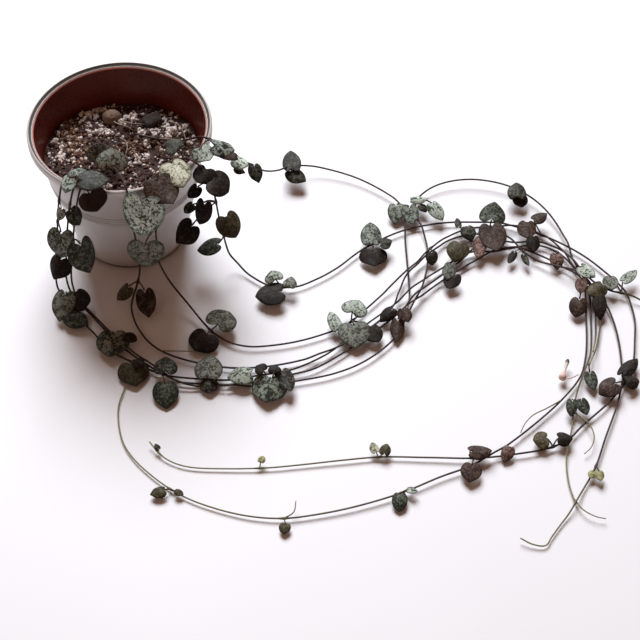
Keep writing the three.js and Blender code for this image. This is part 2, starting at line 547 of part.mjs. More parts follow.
// Larger leaves, in sets that grew from one place on a stem: [place on the stem, leaves].
const LEAF_SETS = {
  right_b: [
    [[49, -12.8, 85], [
      [[50, -18, 87], [63, -18, 83], 13],
      [[44, -20, 87.5], [50, -28, 84], 13],
      [[53, -19, 84], [65, -23, 80], 8],
    ]],
    [[62.5, -13.5, 74], [[[61, -18.5, 76], [70, -22.5, 74], 9], [[62, -20, 71], [68, -22.5, 69], 5]]],
    [[69, -6, 60], [[[71.5, -6.5, 60], [75, -15, 54], 8]]],
    [[92, 40, 9], [[[92, 33, 11], [91, 50, 12], 11], [[89, 37, 10], [100, 29.5, 7], 11]]],
    [[155, 14, 3.5], [[[153, 14, 6], [151.5, 0, 4], 10], [[159.5, 12, 6.5], [161.5, -2, 4], 10]]],
    [[153.5, -70, 2.5], [
      [[151, -71, 6], [150, -86, 3], 8],
      [[149, -66, 8], [141, -73, 5], 8],
      [[153.5, -67, 9.5], [156.5, -76, 7.5], 8],
    ]],
  ],
  left_a: [
    [[-25, -42, 84.8], [[[-21.5, -41, 87.5], [-24, -51, 83.5], 8], [[-19, -44, 88], [-17, -34.5, 86], 12]]],
    [[-31.5, -48.6, 59], [[[-29, -54, 60], [-31, -61, 42], 16]]],
    [[-35, -50, 35], [[[-31.5, -51.5, 35], [-37, -60, 25], 14]]],
    [[-33, -57, 3.5], [[[-31.5, -56, 12], [-35, -73, 5], 13], [[-32, -68, 6.5], [-19, -76, 5], 12]]],
    [[6, -99, 2.5], [[[7, -102, 8], [10, -116, 4], 17], [[9, -103, 9.5], [14, -106.5, 9.5], 7]]],
    [[47, -111, 2.5], [[[48, -115, 8], [49.5, -98.5, 9], 15], [[49, -113, 6], [49, -121, 3.5], 10]]],
    [[188, -24.5, 2.5], [[[188, -18, 9], [184, -31, 6.5], 13]]],
  ],
  left_b: [
    [[-27, -58, 4.2], [[[-28, -55, 10], [-22, -67, 6.5], 14]]],
    [[24, -108.5, 2.5], [[[25.5, -112, 8], [25.5, -101, 9.5], 13], [[25.5, -114, 6.5], [27, -130, 3.5], 14]]],
    [[68, -113.6, 2.5], [[[73, -110.5, 7.5], [58.5, -111.5, 6.5], 12]]],
    [[181, -39, 2.5], [[[182, -34, 9], [179, -45, 6], 8], [[184, -40, 7], [179.5, -50, 4], 10]]],
    [[243, -127, 2.5], [[[241.5, -126, 6.5], [240, -137, 5], 6], [[245.5, -126, 6.5], [248.5, -136, 5], 7]]],
  ],
  left_c: [
    [[-15.5, -46.5, 84.8], [
      [[-18, -48, 90], [-1, -45, 89], 14],
      [[-12, -51.5, 87], [-8, -57.5, 77], 16, 180],
    ]],
    [[-23.5, -54.5, 52], [[[-20, -57, 54], [-15, -62.5, 33], 16.5]]],
    [[-5, -82, 2.5], [
      [[-4, -81, 8], [-5, -98, 5], 18],
      [[1.5, -84.5, 7], [9, -87.5, 7], 7],
    ]],
    [[81, -115, 2.5], [
      [[82, -111, 8.5], [80, -128, 5], 19],
      [[87, -108, 8.5], [93, -122, 6], 10],
      [[79, -111, 9.5], [74, -107.5, 10], 8],
      [[84, -113, 10], [84, -107, 10.5], 7],
    ]],
    [[165, 19, 3], [
      [[160, 14.5, 7.5], [171, 14, 8.5], 6],
      [[172, 12, 9], [179, 0, 6], 9],
      [[166, 12, 6.5], [170, 7, 5.5], 5],
    ]],
    [[222, 26, 5], [[[222.5, 13.5, 9], [223, 27, 10], 11], [[224.5, 20, 7.5], [225.5, 11, 4.5], 9]]],
    [[256, -41, 2.5], [
      [[252.5, -39, 12], [261, -47, 11], 9],
      [[254, -47, 11], [252, -57, 9], 7],
      [[252, -58, 8], [249, -70, 4.5], 10],
    ]],
  ],
  front_b: [
    [[17.5, -45.5, 85.2], [[[22, -42, 88], [31.5, -56, 81], 19]]],
    [[19.5, -50, 78], [[[16.5, -53, 86.5], [14, -63, 62.5], 23]]],
    [[20.4, -50.3, 55], [[[15, -56.5, 54], [15, -62, 37], 20]]],
    [[48, -78, 3.1], [[[51, -79.5, 7], [58.5, -67, 7], 18], [[48, -81, 6], [40, -93, 4], 18]]],
    [[126, -71, 2.5], [
      [[118.5, -81, 6], [113.5, -68, 7.5], 7.5],
      [[125, -72, 9], [130, -62, 10], 15],
      [[126.5, -75, 8], [127.5, -91.5, 5.5], 18],
      [[135, -77, 6.5], [140, -88, 4.5], 11],
    ]],
    [[228, -5.5, 2.5], [[[227, -2, 8.5], [226, -14.5, 6], 11]]],
  ],
  front_a: [
    [[-1.5, -22, 70], [[[-10.5, -15, 68.5], [-11, -9, 78.5], 14], [[-4, -22, 69], [-3.5, -13, 78.5], 17]]],
    [[7.5, -52, 13], [[[3.5, -54, 13], [-4, -60, 7], 9], [[11, -55, 12], [14, -70, 4], 11]]],
    [[204, -8.5, 2.5], [
      [[206, -5, 9], [209, 9, 11], 15],
      [[205.5, -5, 10], [208, -25, 7], 16],
      [[200, -13.5, 8], [197.5, -29, 5.5], 8],
    ]],
    [[264, -47, 2.5], [[[266, -50, 9.5], [256, -58, 9], 11], [[262.5, -56, 9], [262.5, -71.5, 4.5], 8]]],
    [[277, -52.6, 2.5], [[[276.5, -47, 6], [286, -38.5, 7], 6.5], [[270, -43, 8], [270.5, -53, 7], 9]]],
  ],
  right_a: [
    [[36, -24, 80.5], [[[29, -29.5, 87.5], [37, -46.5, 85], 17], [[34, -20.5, 85], [27, -15.5, 86], 12]]],
    [[49.5, -31.5, 72], [
      [[50, -36, 80], [61, -40, 74], 18],
      [[44, -35, 73], [38.5, -41, 69], 8],
      [[49, -29.5, 82], [44, -39, 78], 14],
    ]],
    [[52, -31.5, 56], [
      [[41, -39, 63], [35.5, -43, 60], 7],
      [[47, -38, 65], [43, -44, 51], 11],
      [[41, -43.5, 53], [31, -51, 45], 16],
    ]],
    [[54.8, -29.8, 27], [[[55.5, -24, 39], [62.5, -33, 28], 15], [[53.5, -31, 22], [39, -32, 17], 12]]],
    [[87, -47.2, 2.5], [
      [[89, -53, 7], [72, -56, 5], 16],
      [[84, -47.5, 8], [81, -41, 10], 11],
      [[90.5, -52, 8], [92.5, -44, 8.5], 8],
    ]],
    [[139, -14.8, 2.5], [
      [[137.5, -21, 7], [137, -3, 7.5], 12],
      [[141.5, -19.5, 8], [149, -17, 7], 9],
      [[138, -21, 6.5], [139, -33, 4], 16],
    ]],
    [[271.5, -113.5, 2.5], [
      [[268.5, -112, 6.5], [279.5, -98.5, 6], 8],
      [[270.5, -115, 7], [279, -113, 5], 10],
      [[267, -116, 7.5], [256, -122, 5], 12],
    ]],
    [[229, -154.6, 2.5], [[[227, -151, 6], [218.5, -152, 5], 11], [[231, -151, 6], [239.5, -151, 5], 9]]],
    [[188, -161.7, 2.5], [[[184, -160.5, 7], [197, -159.5, 6], 9], [[186.5, -166, 6], [184.5, -177, 4], 11]]],
  ],
};

// ---- building ----
addMesh('pot', makePot(), POT_PLASTIC);
const tuberStretch = [1, 0.92, 0.86];
const tuberHole = ball(TUBER_RADIUS, TUBER_PLACE, tuberStretch, GAP);
const soil = makeSoil().subtract(tuberHole).subtract(barkChip(GAP));
addMesh('potting_mix', soil, POTTING_MIX);
addMesh('tuber', ball(TUBER_RADIUS, TUBER_PLACE, tuberStretch, 0), TUBER_SKIN);
addMesh('bark_chip', barkChip(0), BARK);

const keepOuts = [];
const laid = [];
const routes = {};

function shootTube([radius, route], grow) {
  return tube(fineRoute(route), radius + grow);
}

for (const [name, route] of Object.entries(STEMS)) {
  const samples = layOver(fineRoute(route), laid);
  laid.push(...samples);
  routes[name] = samples;
}

for (const [name, samples] of Object.entries(routes)) {
  const shoots = SHOOTS[name] ?? [];
  const small = JOINED[name] ?? [];
  const others = Object.entries(routes).filter(([other]) => other !== name);
  const extras = (grow) => shoots.map((shoot) => shootTube(shoot, grow)).concat(
    small.map(([place, leaves]) => leafSet(samples[nearestSample(samples, place)], leaves, grow)),
  );
  const otherTubes = others.map(([, line]) => tube(line, STEM_RADIUS + GAP));
  const trimmed = extras(0).map((extra) => cutClear(cutClear(extra, otherTubes), keepOuts));
  const stem = largest(join([tube(samples, STEM_RADIUS), ...trimmed]));
  addMesh(`stem_${name}`, stem, STEM_SKIN);
  keepOuts.push(...extras(GAP));
}
keepOuts.push(...Object.values(routes).map((line) => tube(line, STEM_RADIUS + GAP)));

for (const [name, sets] of Object.entries(LEAF_SETS)) {
  const samples = routes[name];
  sets.forEach(([place, leaves], number) => {
    const index = nearestSample(samples, place);
    const root = samples[index];
    const heading = samples[Math.min(index + 1, samples.length - 1)].clone();
    heading.sub(samples[Math.max(index - 1, 0)]).normalize().multiplyScalar(NODE_LENGTH / 2);
    const sleeve = rod(root.clone().sub(heading), root.clone().add(heading), NODE_RADIUS, NODE_SIDES);
    const whole = join([leafSet(root, leaves, 0), sleeve]);
    addMesh(`leaves_${name}_${number + 1}`, largest(cutClear(whole, keepOuts)), LEAF_SKIN);
    keepOuts.push(leafSet(root, leaves, GAP));
    keepOuts.push(rod(root.clone().sub(heading), root.clone().add(heading), NODE_RADIUS + GAP, NODE_SIDES));
  });
}

// The flower is a swollen base with a narrow tube and a dark tip, on a thin stalk.
const flowerStalk = rod(
  new THREE.Vector3(247, -109.5, 4.6), new THREE.Vector3(238, -112, 4), 0.4, PETIOLE_SIDES,
);
const flowerBase = ball(2.2, [238, -110.5, 4], [1, 1, 1], 0);
const flowerNeck = rod(
  new THREE.Vector3(238, -110.5, 4), new THREE.Vector3(241.5, -101, 5), 0.9, 6,
);
const flowerTip = ball(1.3, [242, -100, 5], [0.8, 1.3, 0.8], 0);
const flower = largest(cutClear(join([flowerStalk, flowerBase, flowerNeck, flowerTip]), keepOuts));
addMesh('flower', flower, FLOWER_SKIN);

export default plant;
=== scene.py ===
"""Looks of a potted string of hearts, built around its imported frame.

Routes and leaves are written in millimetres in the row frame, as in the part's own source:
the origin is the centre of the pot's base, +X to the right, +Y away from the viewer, +Z up.
"""
import math
import random

import bmesh
import bpy
import numpy as np
from mathutils import Matrix, Quaternion, Vector, noise


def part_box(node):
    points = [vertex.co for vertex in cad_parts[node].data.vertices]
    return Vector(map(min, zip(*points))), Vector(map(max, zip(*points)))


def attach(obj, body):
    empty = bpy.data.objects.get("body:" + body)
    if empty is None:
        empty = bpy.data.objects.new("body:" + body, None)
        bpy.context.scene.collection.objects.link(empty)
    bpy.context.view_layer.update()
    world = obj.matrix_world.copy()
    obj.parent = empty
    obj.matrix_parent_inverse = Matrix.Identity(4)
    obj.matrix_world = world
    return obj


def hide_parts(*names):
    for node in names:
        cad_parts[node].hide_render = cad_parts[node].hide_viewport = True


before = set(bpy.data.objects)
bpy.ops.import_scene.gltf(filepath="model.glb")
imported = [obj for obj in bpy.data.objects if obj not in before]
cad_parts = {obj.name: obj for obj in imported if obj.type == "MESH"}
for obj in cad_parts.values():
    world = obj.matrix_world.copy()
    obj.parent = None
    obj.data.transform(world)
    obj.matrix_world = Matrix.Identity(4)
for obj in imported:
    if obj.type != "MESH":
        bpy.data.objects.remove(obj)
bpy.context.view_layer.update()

bl_info = {
    "name": "Potted String of Hearts",
    "version": (1, 0, 0),
    "blender": (4, 5, 0),
    "location": "View3D > Sidebar > Plant",
    "description": "Builds the pot, potting mix, stems, leaves and flower bud of a string of hearts",
    "category": "Object",
}

MM = 0.001
BODY = "root"

# ---- the shape of the pot and of its filling, in millimetres ----
POT_HIGH = Vector(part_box("pot")[1]) / MM
RIM_RADIUS = POT_HIGH.x
POT_HEIGHT = POT_HIGH.z
BASE_RADIUS = 31.6
NECK_RADIUS = 47.2
WALL = 0.9
FLOOR_THICKNESS = 1.4
SKIRT_DEPTH = 5
SKIRT_THICKNESS = 1.1
FLANGE_DROP = 1.3
RIM_BEND = 1.2
LIP_WIDTH = 1.3
LIP_DEPTH = 1.53
EDGE_DEPTH = 2.2
UNDERSIDE_LIFT = 0.8
FOOT_HEIGHT = 2.4
RIDGE_COUNT = 3
RIDGE_BOTTOM = 47
RIDGE_PITCH = 2.1
RIDGE_HEIGHT = 0.45
DRAIN_COUNT = 6
DRAIN_RADIUS = 3.5
DRAIN_CIRCLE = 21
SOIL_LEVEL = 63
SOIL_SLOPE = -0.11
SOIL_GAP = 0.3
SOIL_CLEARANCE = 0.45
SOIL_RADIUS = 43.6
SOIL_SIDES = 160
SOIL_RING_STEP = 0.75
SOIL_RING_COUNT = 60
TUBER_PLACE = (-8, 26, 62.5)
TUBER_RADIUS = 5.6
BARK_PLACE = (15, 24, 62.5)
BARK_SIZE = (12, 8, 5)

# ---- the lie of the stems ----
SAMPLE_STEP = 1.5
CROSSING_HEIGHT = 1.75
CROSSING_WIDTH = 1.7
CROSSING_SLOPE = 0.2
LYING_HEIGHT = 7
LEAF_CENTRE = 0.44
TIP_REACH = 1.16

# Each route is the line of a stem's centre, from the soil to its free end.
STEM_ROUTES = {
    "right_a": [
        [22, -8, 66], [32, -19, 76], [40, -28, 85.2], [47, -31, 80], [51, -31.5, 65], [53, -31.5, 44],
        [54.5, -30, 30], [55.5, -29, 19], [57.5, -29.5, 10], [62, -32, 5], [66, -36, 3], [70, -39.5, 2.5],
        [80, -46, 2.5], [94, -47, 2.5], [106, -41.5, 2.5], [118, -33, 2.5], [131, -20.5, 2.5],
        [147, -9.5, 2.5], [160, -3.5, 2.5], [180, 1, 2.5], [200, 1.5, 2.5], [212, 1, 2.5],
        [220, -1.5, 2.5], [235, -8, 2.5], [250, -17.5, 2.5], [260, -26, 2.5], [268, -35, 2.5],
        [275, -44, 2.5], [279, -51, 2.5], [281, -62, 2.5], [281.5, -72, 2.5], [280, -84, 2.5],
        [278, -97, 2.5], [275, -107, 2.5], [271, -114, 2.5], [261, -126.5, 2.5], [246, -141, 2.5],
        [238, -149.5, 2.5], [228, -155, 2.5], [210, -159, 2.5], [190, -161.5, 2.5], [165, -161, 2.2],
        [140, -160.5, 2], [120, -162.5, 2], [100, -165, 1.8], [82, -167, 1.8], [60, -167.5, 1.6],
        [40, -166.3, 1.6], [30, -162.5, 1.8], [24, -157.5, 2.5], [19.5, -152, 3.5],
    ],
    "right_b": [
        [6, 10, 66], [20, 3, 69], [34, -6, 77], [46, -11.5, 85.2], [55, -15, 83], [62, -14, 75],
        [68, -8, 62], [73, 3, 46], [78, 16, 30], [84, 29, 17], [92, 40, 9], [102, 42.5, 6.5],
        [112, 41.5, 5], [130, 35, 4], [147, 23.5, 3.5], [154, 16, 3.5], [157, 6, 3], [157, -12, 2.5],
        [157.5, -27, 2.5], [158, -42, 2.5], [158, -54, 2.5], [156.5, -63, 2.5], [153, -71, 2.5],
    ],
    "left_a": [
        [-16, -24, 67], [-20, -32, 79], [-24, -40, 85], [-26, -43.5, 84.9], [-29, -47, 74], [-32, -49, 55],
        [-35, -50, 35], [-37.5, -50.5, 17], [-37, -53, 8], [-33, -57, 3.5], [-28, -65, 2.5],
        [-22, -72.5, 2.5], [-15, -80.5, 2.5], [-10, -87, 2.5], [-4, -93, 2.5], [4, -98, 2.5],
        [16, -104.5, 2.5], [26, -108.5, 2.5], [40, -110.5, 2.5], [60, -111.5, 2.5], [75, -108.5, 2.5],
        [92, -105, 2.5], [110, -95.5, 2.5], [119, -88, 2.5], [135, -72.5, 2.5], [150, -59, 2.5],
        [165, -43, 2.5], [180, -31, 2.5], [190, -23, 2.5], [198, -20.5, 2.5], [206, -21, 2.5],
        [215, -19, 2.5], [229, -16, 2.5], [238, -18, 2.5], [246, -24, 2.5], [252, -34, 2.5],
        [256, -46, 2.5], [256, -56, 2.5], [255, -68, 2.5], [254, -82, 2.5], [252, -96, 2.5],
        [248, -109, 2.5], [237, -124, 2.5], [220, -141, 2.5], [203, -155.5, 2.5], [190, -164.5, 2.5],
        [170, -173, 2.5], [150, -182.5, 2.4], [125, -191, 2.2], [104, -195.7, 2], [90, -197.5, 2],
        [75, -196.5, 1.8], [60, -193, 1.6], [42, -186, 1.6], [30, -178.5, 1.6], [20, -170, 1.5],
        [12, -161.5, 1.5], [6, -152, 1.4], [2.5, -140, 1.4], [1.5, -128, 1.4], [4, -115, 1.4],
    ],
    "left_b": [
        [-10, -26, 67], [-15, -36, 79], [-18, -43.2, 85], [-19.6, -46.6, 84.9], [-23, -50, 74],
        [-27, -52, 52],
        [-30, -52.5, 30], [-31.5, -52.5, 15], [-29, -56, 6], [-24, -61, 3], [-19, -66, 2.5],
        [-13, -73.5, 2.5], [-7, -80.5, 2.5], [0, -88.5, 2.5], [7, -95, 2.5], [14, -101.5, 2.5],
        [22, -107.5, 2.5], [32, -112.5, 2.5], [45, -114, 2.5], [60, -114.5, 2.5], [75, -112.5, 2.5],
        [94, -107.5, 2.5], [105, -104, 2.5], [123, -91.5, 2.5], [140, -77, 2.5], [160, -58, 2.5],
        [175, -44, 2.5], [190, -32, 2.5], [203, -23.5, 2.5], [212, -20, 2.5], [222, -19, 2.5],
        [232, -23, 2.5], [245, -32, 2.5], [254, -41, 2.5], [258, -53, 2.5], [257.5, -68, 2.5],
        [256.5, -82, 2.5], [254.5, -95, 2.5], [250, -107, 2.5], [246, -117, 2.5], [243, -127, 2.5],
        [240, -143, 2.2], [235.5, -162, 2], [235.5, -177, 1.8], [238, -189, 1.6],
    ],
    "left_c": [
        [-5, -27, 67], [-11, -37, 79], [-14.7, -44.6, 85], [-16.2, -48, 84.9], [-19.5, -52, 74],
        [-23.5, -54.5, 52],
        [-27, -55, 30], [-28, -56, 15], [-25, -60, 6], [-21, -63.5, 3], [-14, -71.5, 2.5],
        [-8, -78.5, 2.5], [-1, -86, 2.5], [6, -93, 2.5], [13, -99.5, 2.5], [21, -106, 2.5],
        [31, -113.5, 2.5], [45, -116, 2.5], [62, -116, 2.5], [80, -115, 2.5], [95, -112.3, 2.5],
        [115, -107.5, 2.5], [130, -100.5, 2.5], [143, -90, 2.5], [151, -80, 2.5], [156, -69, 2.5],
        [162, -56, 2.5], [165.5, -47, 2.5], [168.5, -34, 2.5], [169.5, -20, 2.5], [167.5, -6, 2.5],
        [163.5, 8, 2.5], [165, 18.5, 3], [172, 26, 4], [182, 31, 4.5], [196, 33, 5], [210, 31, 5],
        [221, 26.5, 5], [231, 19.5, 4.5], [239, 10, 4], [245, -1, 3], [249, -13, 2.5], [251.5, -27, 2.5],
        [254.5, -38, 2.5], [261, -49, 2.5], [266, -57, 2.5], [269.5, -70, 2.5], [271, -84, 2.5],
        [271, -98, 2.5], [270, -112, 2.5], [265, -129, 2.5], [257, -149, 2.5], [250, -167, 2.2],
        [242, -181, 2], [235, -193, 1.8], [229, -201, 1.6], [224, -208, 1.6], [220.5, -213, 1.6],
        [214, -212.5, 2], [208, -209.5, 3],
    ],
    "front_a": [
        [-4, -15, 67], [1.5, -31, 77], [7, -47, 85.2], [8.5, -51.5, 77], [9, -52, 58], [9.5, -51.5, 38],
        [9, -50.5, 20], [6.5, -53.5, 10], [4.5, -58, 6], [4, -63, 4], [6, -71, 3], [10, -79, 2.5],
        [15, -86, 2.5], [22, -92, 2.5], [30, -96, 2.5], [40, -99.5, 2.5], [50, -102, 2.5],
        [62, -103.5, 2.5], [76, -103, 2.5], [90, -100.5, 2.5], [105, -96, 2.5], [117, -91, 2.5],
        [129, -82, 2.5], [141, -71, 2.5], [149, -61.5, 2.5], [152, -52, 2.5], [156, -41, 2.5],
        [163, -31, 2.5], [172, -21.5, 2.5], [181, -13, 2.5], [192, -8.5, 2.5], [203, -8, 2.5],
        [214, -13, 2.5], [226, -14.5, 2.5], [237, -15, 2.5], [245, -20, 2.5], [251, -29, 2.5],
        [256, -39, 2.5], [263, -46.5, 2.5], [272, -50.5, 2.5], [286, -56.5, 2.5], [294, -62, 2.2],
        [299, -70, 2], [300, -79, 2],
    ],
    "front_b": [
        [14, -22, 66], [16, -35, 77], [17.5, -45.5, 85.2], [19.5, -50, 78], [20.5, -50.5, 60],
        [20, -49.5, 40], [20, -48, 25], [25, -52, 14], [35, -61.5, 6], [44, -73, 3.5], [50, -80, 3],
        [60, -86.5, 2.5], [70, -89, 2.5], [80, -88.5, 2.5], [95, -85.7, 2.5], [110, -80.5, 2.5],
        [122, -74.5, 2.5], [133, -63.5, 2.5], [147, -48, 2.5], [159, -35.5, 2.5], [169, -23.5, 2.5],
        [180, -11, 2.5], [190, -5, 2.5], [200, -2.5, 2.5], [222, -3, 2.5], [232, -7.5, 2.5],
        [240, -13, 2.5], [246, -23, 2.5], [252, -36, 2.5], [258, -46.5, 2.5], [262.5, -56, 2.5],
        [263, -68, 2.5], [260.5, -82, 2.5], [257, -94, 2.5], [252.5, -104, 2.5],
    ],
    "branch": [
        [154, -66, 4], [160, -57, 2.5], [170, -46, 2.5], [182, -33, 2.5], [190, -26, 2.5],
        [198, -17, 2.5], [206, -9, 2.5], [212, -8.5, 2.5], [217, -13, 2.5], [222, -21.5, 2.5],
        [230, -27.5, 2.5], [242, -34, 2.5], [252, -39.5, 2.5], [259, -49, 2.5], [260.5, -58, 2.5],
        [260, -70, 2.5], [258.5, -83, 2.5], [255.5, -96, 2.5],
    ],
}

# Thin side shoots: [radius, route], by the stem that each grew from.
SIDE_SHOOTS = {
    "left_a": [
        [0.4, [[236, -125, 2.6], [228, -131, 4], [220, -136, 4.5], [215.5, -141, 4], [213, -146, 3]]],
        [0.4, [[90, -197.5, 2], [95, -195, 4], [96, -189, 5]]],
    ],
    "left_b": [
        [0.4, [[242.5, -133, 2.6], [249, -141, 4], [251, -149, 4], [249, -155, 3], [245, -159, 2.5]]],
        [0.4, [[236.8, -185, 1.8], [241, -193, 3], [247, -197, 3], [252, -198, 2.5]]],
    ],
    "front_a": [
        [0.4, [[22, -92, 2.6], [30, -94, 5], [38, -94.5, 5.5], [46, -96, 5]]],
    ],
}

# Small leaves on short stalks: (place on the stem, [(base, tip, width, roll, look), ...]).
SMALL_LEAVES = {
    "left_a": [
        ((-27, -46, 74), [((-27.5, -50, 72), (-29.5, -53, 65), 6, 0, "grey")]),
        ((243, -21.5, 2.5), [((242, -25, 7), (242, -35, 4), 8, 0, "blush")]),
        ((150, -182.5, 2.4), [
            ((149, -183, 4.5), (148, -194, 3), 8, 0, "green"),
            ((152, -181.5, 4), (158, -183, 4.5), 4, 0, "silver"),
        ]),
        ((90, -197.5, 2), [((91, -200.5, 3), (90, -207, 3), 6, 0, "olive")]),
        ((32, -180, 1.6), [
            ((30, -181.5, 4), (22, -184, 3.5), 7, 0, "olive"),
            ((34, -182, 3.5), (39, -184, 3), 4, 0, "olive"),
        ]),
    ],
    "left_b": [((-23, -50, 74), [((-23, -51.5, 73), (-18, -55.5, 64), 10, 0, "slate")])],
    "left_c": [
        ((250, -167, 2.2), [
            ((249, -170, 4), (246, -174.5, 4), 4.5, 0, "young"),
            ((251, -170, 4.5), (251.5, -176.5, 4), 5, 0, "young"),
        ]),
    ],
    "front_b": [
        ((170, -22, 2.5), [((171.5, -23, 6.5), (171.5, -32, 3.5), 7, 0, "shade")]),
        ((191, -5, 2.5), [
            ((192, -4.5, 7), (195, -14, 4.5), 9, 0, "slate"),
            ((188, -6, 6), (187, 1, 7), 4, 0, "slate"),
        ]),
        ((253, -103.5, 2.5), [((252.5, -107, 5), (254, -119, 3), 7, 0, "green")]),
    ],
    "front_a": [((229, -14.5, 2.5), [((229.5, -13, 8), (229.5, -23.5, 5), 8, 0, "shade")])],
    "right_a": [
        ((236, -8.5, 2.5), [((230, -1.5, 7), (239, 2.5, 8.5), 8, 0, "brown")]),
        ((206, -159.5, 2.5), [((207, -155, 5), (203, -164, 3.5), 7, 0, "blush")]),
        ((139, -160.5, 2), [
            ((141, -161, 4.5), (143, -154, 5.5), 6, 0, "olive"),
            ((137.5, -159.5, 4), (135, -153.5, 5), 5, 0, "cream"),
        ]),
        ((77, -167.2, 1.8), [((77.5, -165.5, 4), (79, -161.5, 5), 4, 0, "young")]),
        ((24.5, -158, 2.4), [((25, -157, 3.5), (22.5, -154, 4.5), 3, 0, "slate")]),
    ],
    "branch": [
        ((222, -21.5, 2.5), [
            ((219, -23, 5.5), (214.5, -31.5, 4), 4.5, 0, "shade"),
            ((223, -25, 6), (226, -33, 4), 4, 0, "slate"),
        ]),
    ],
}

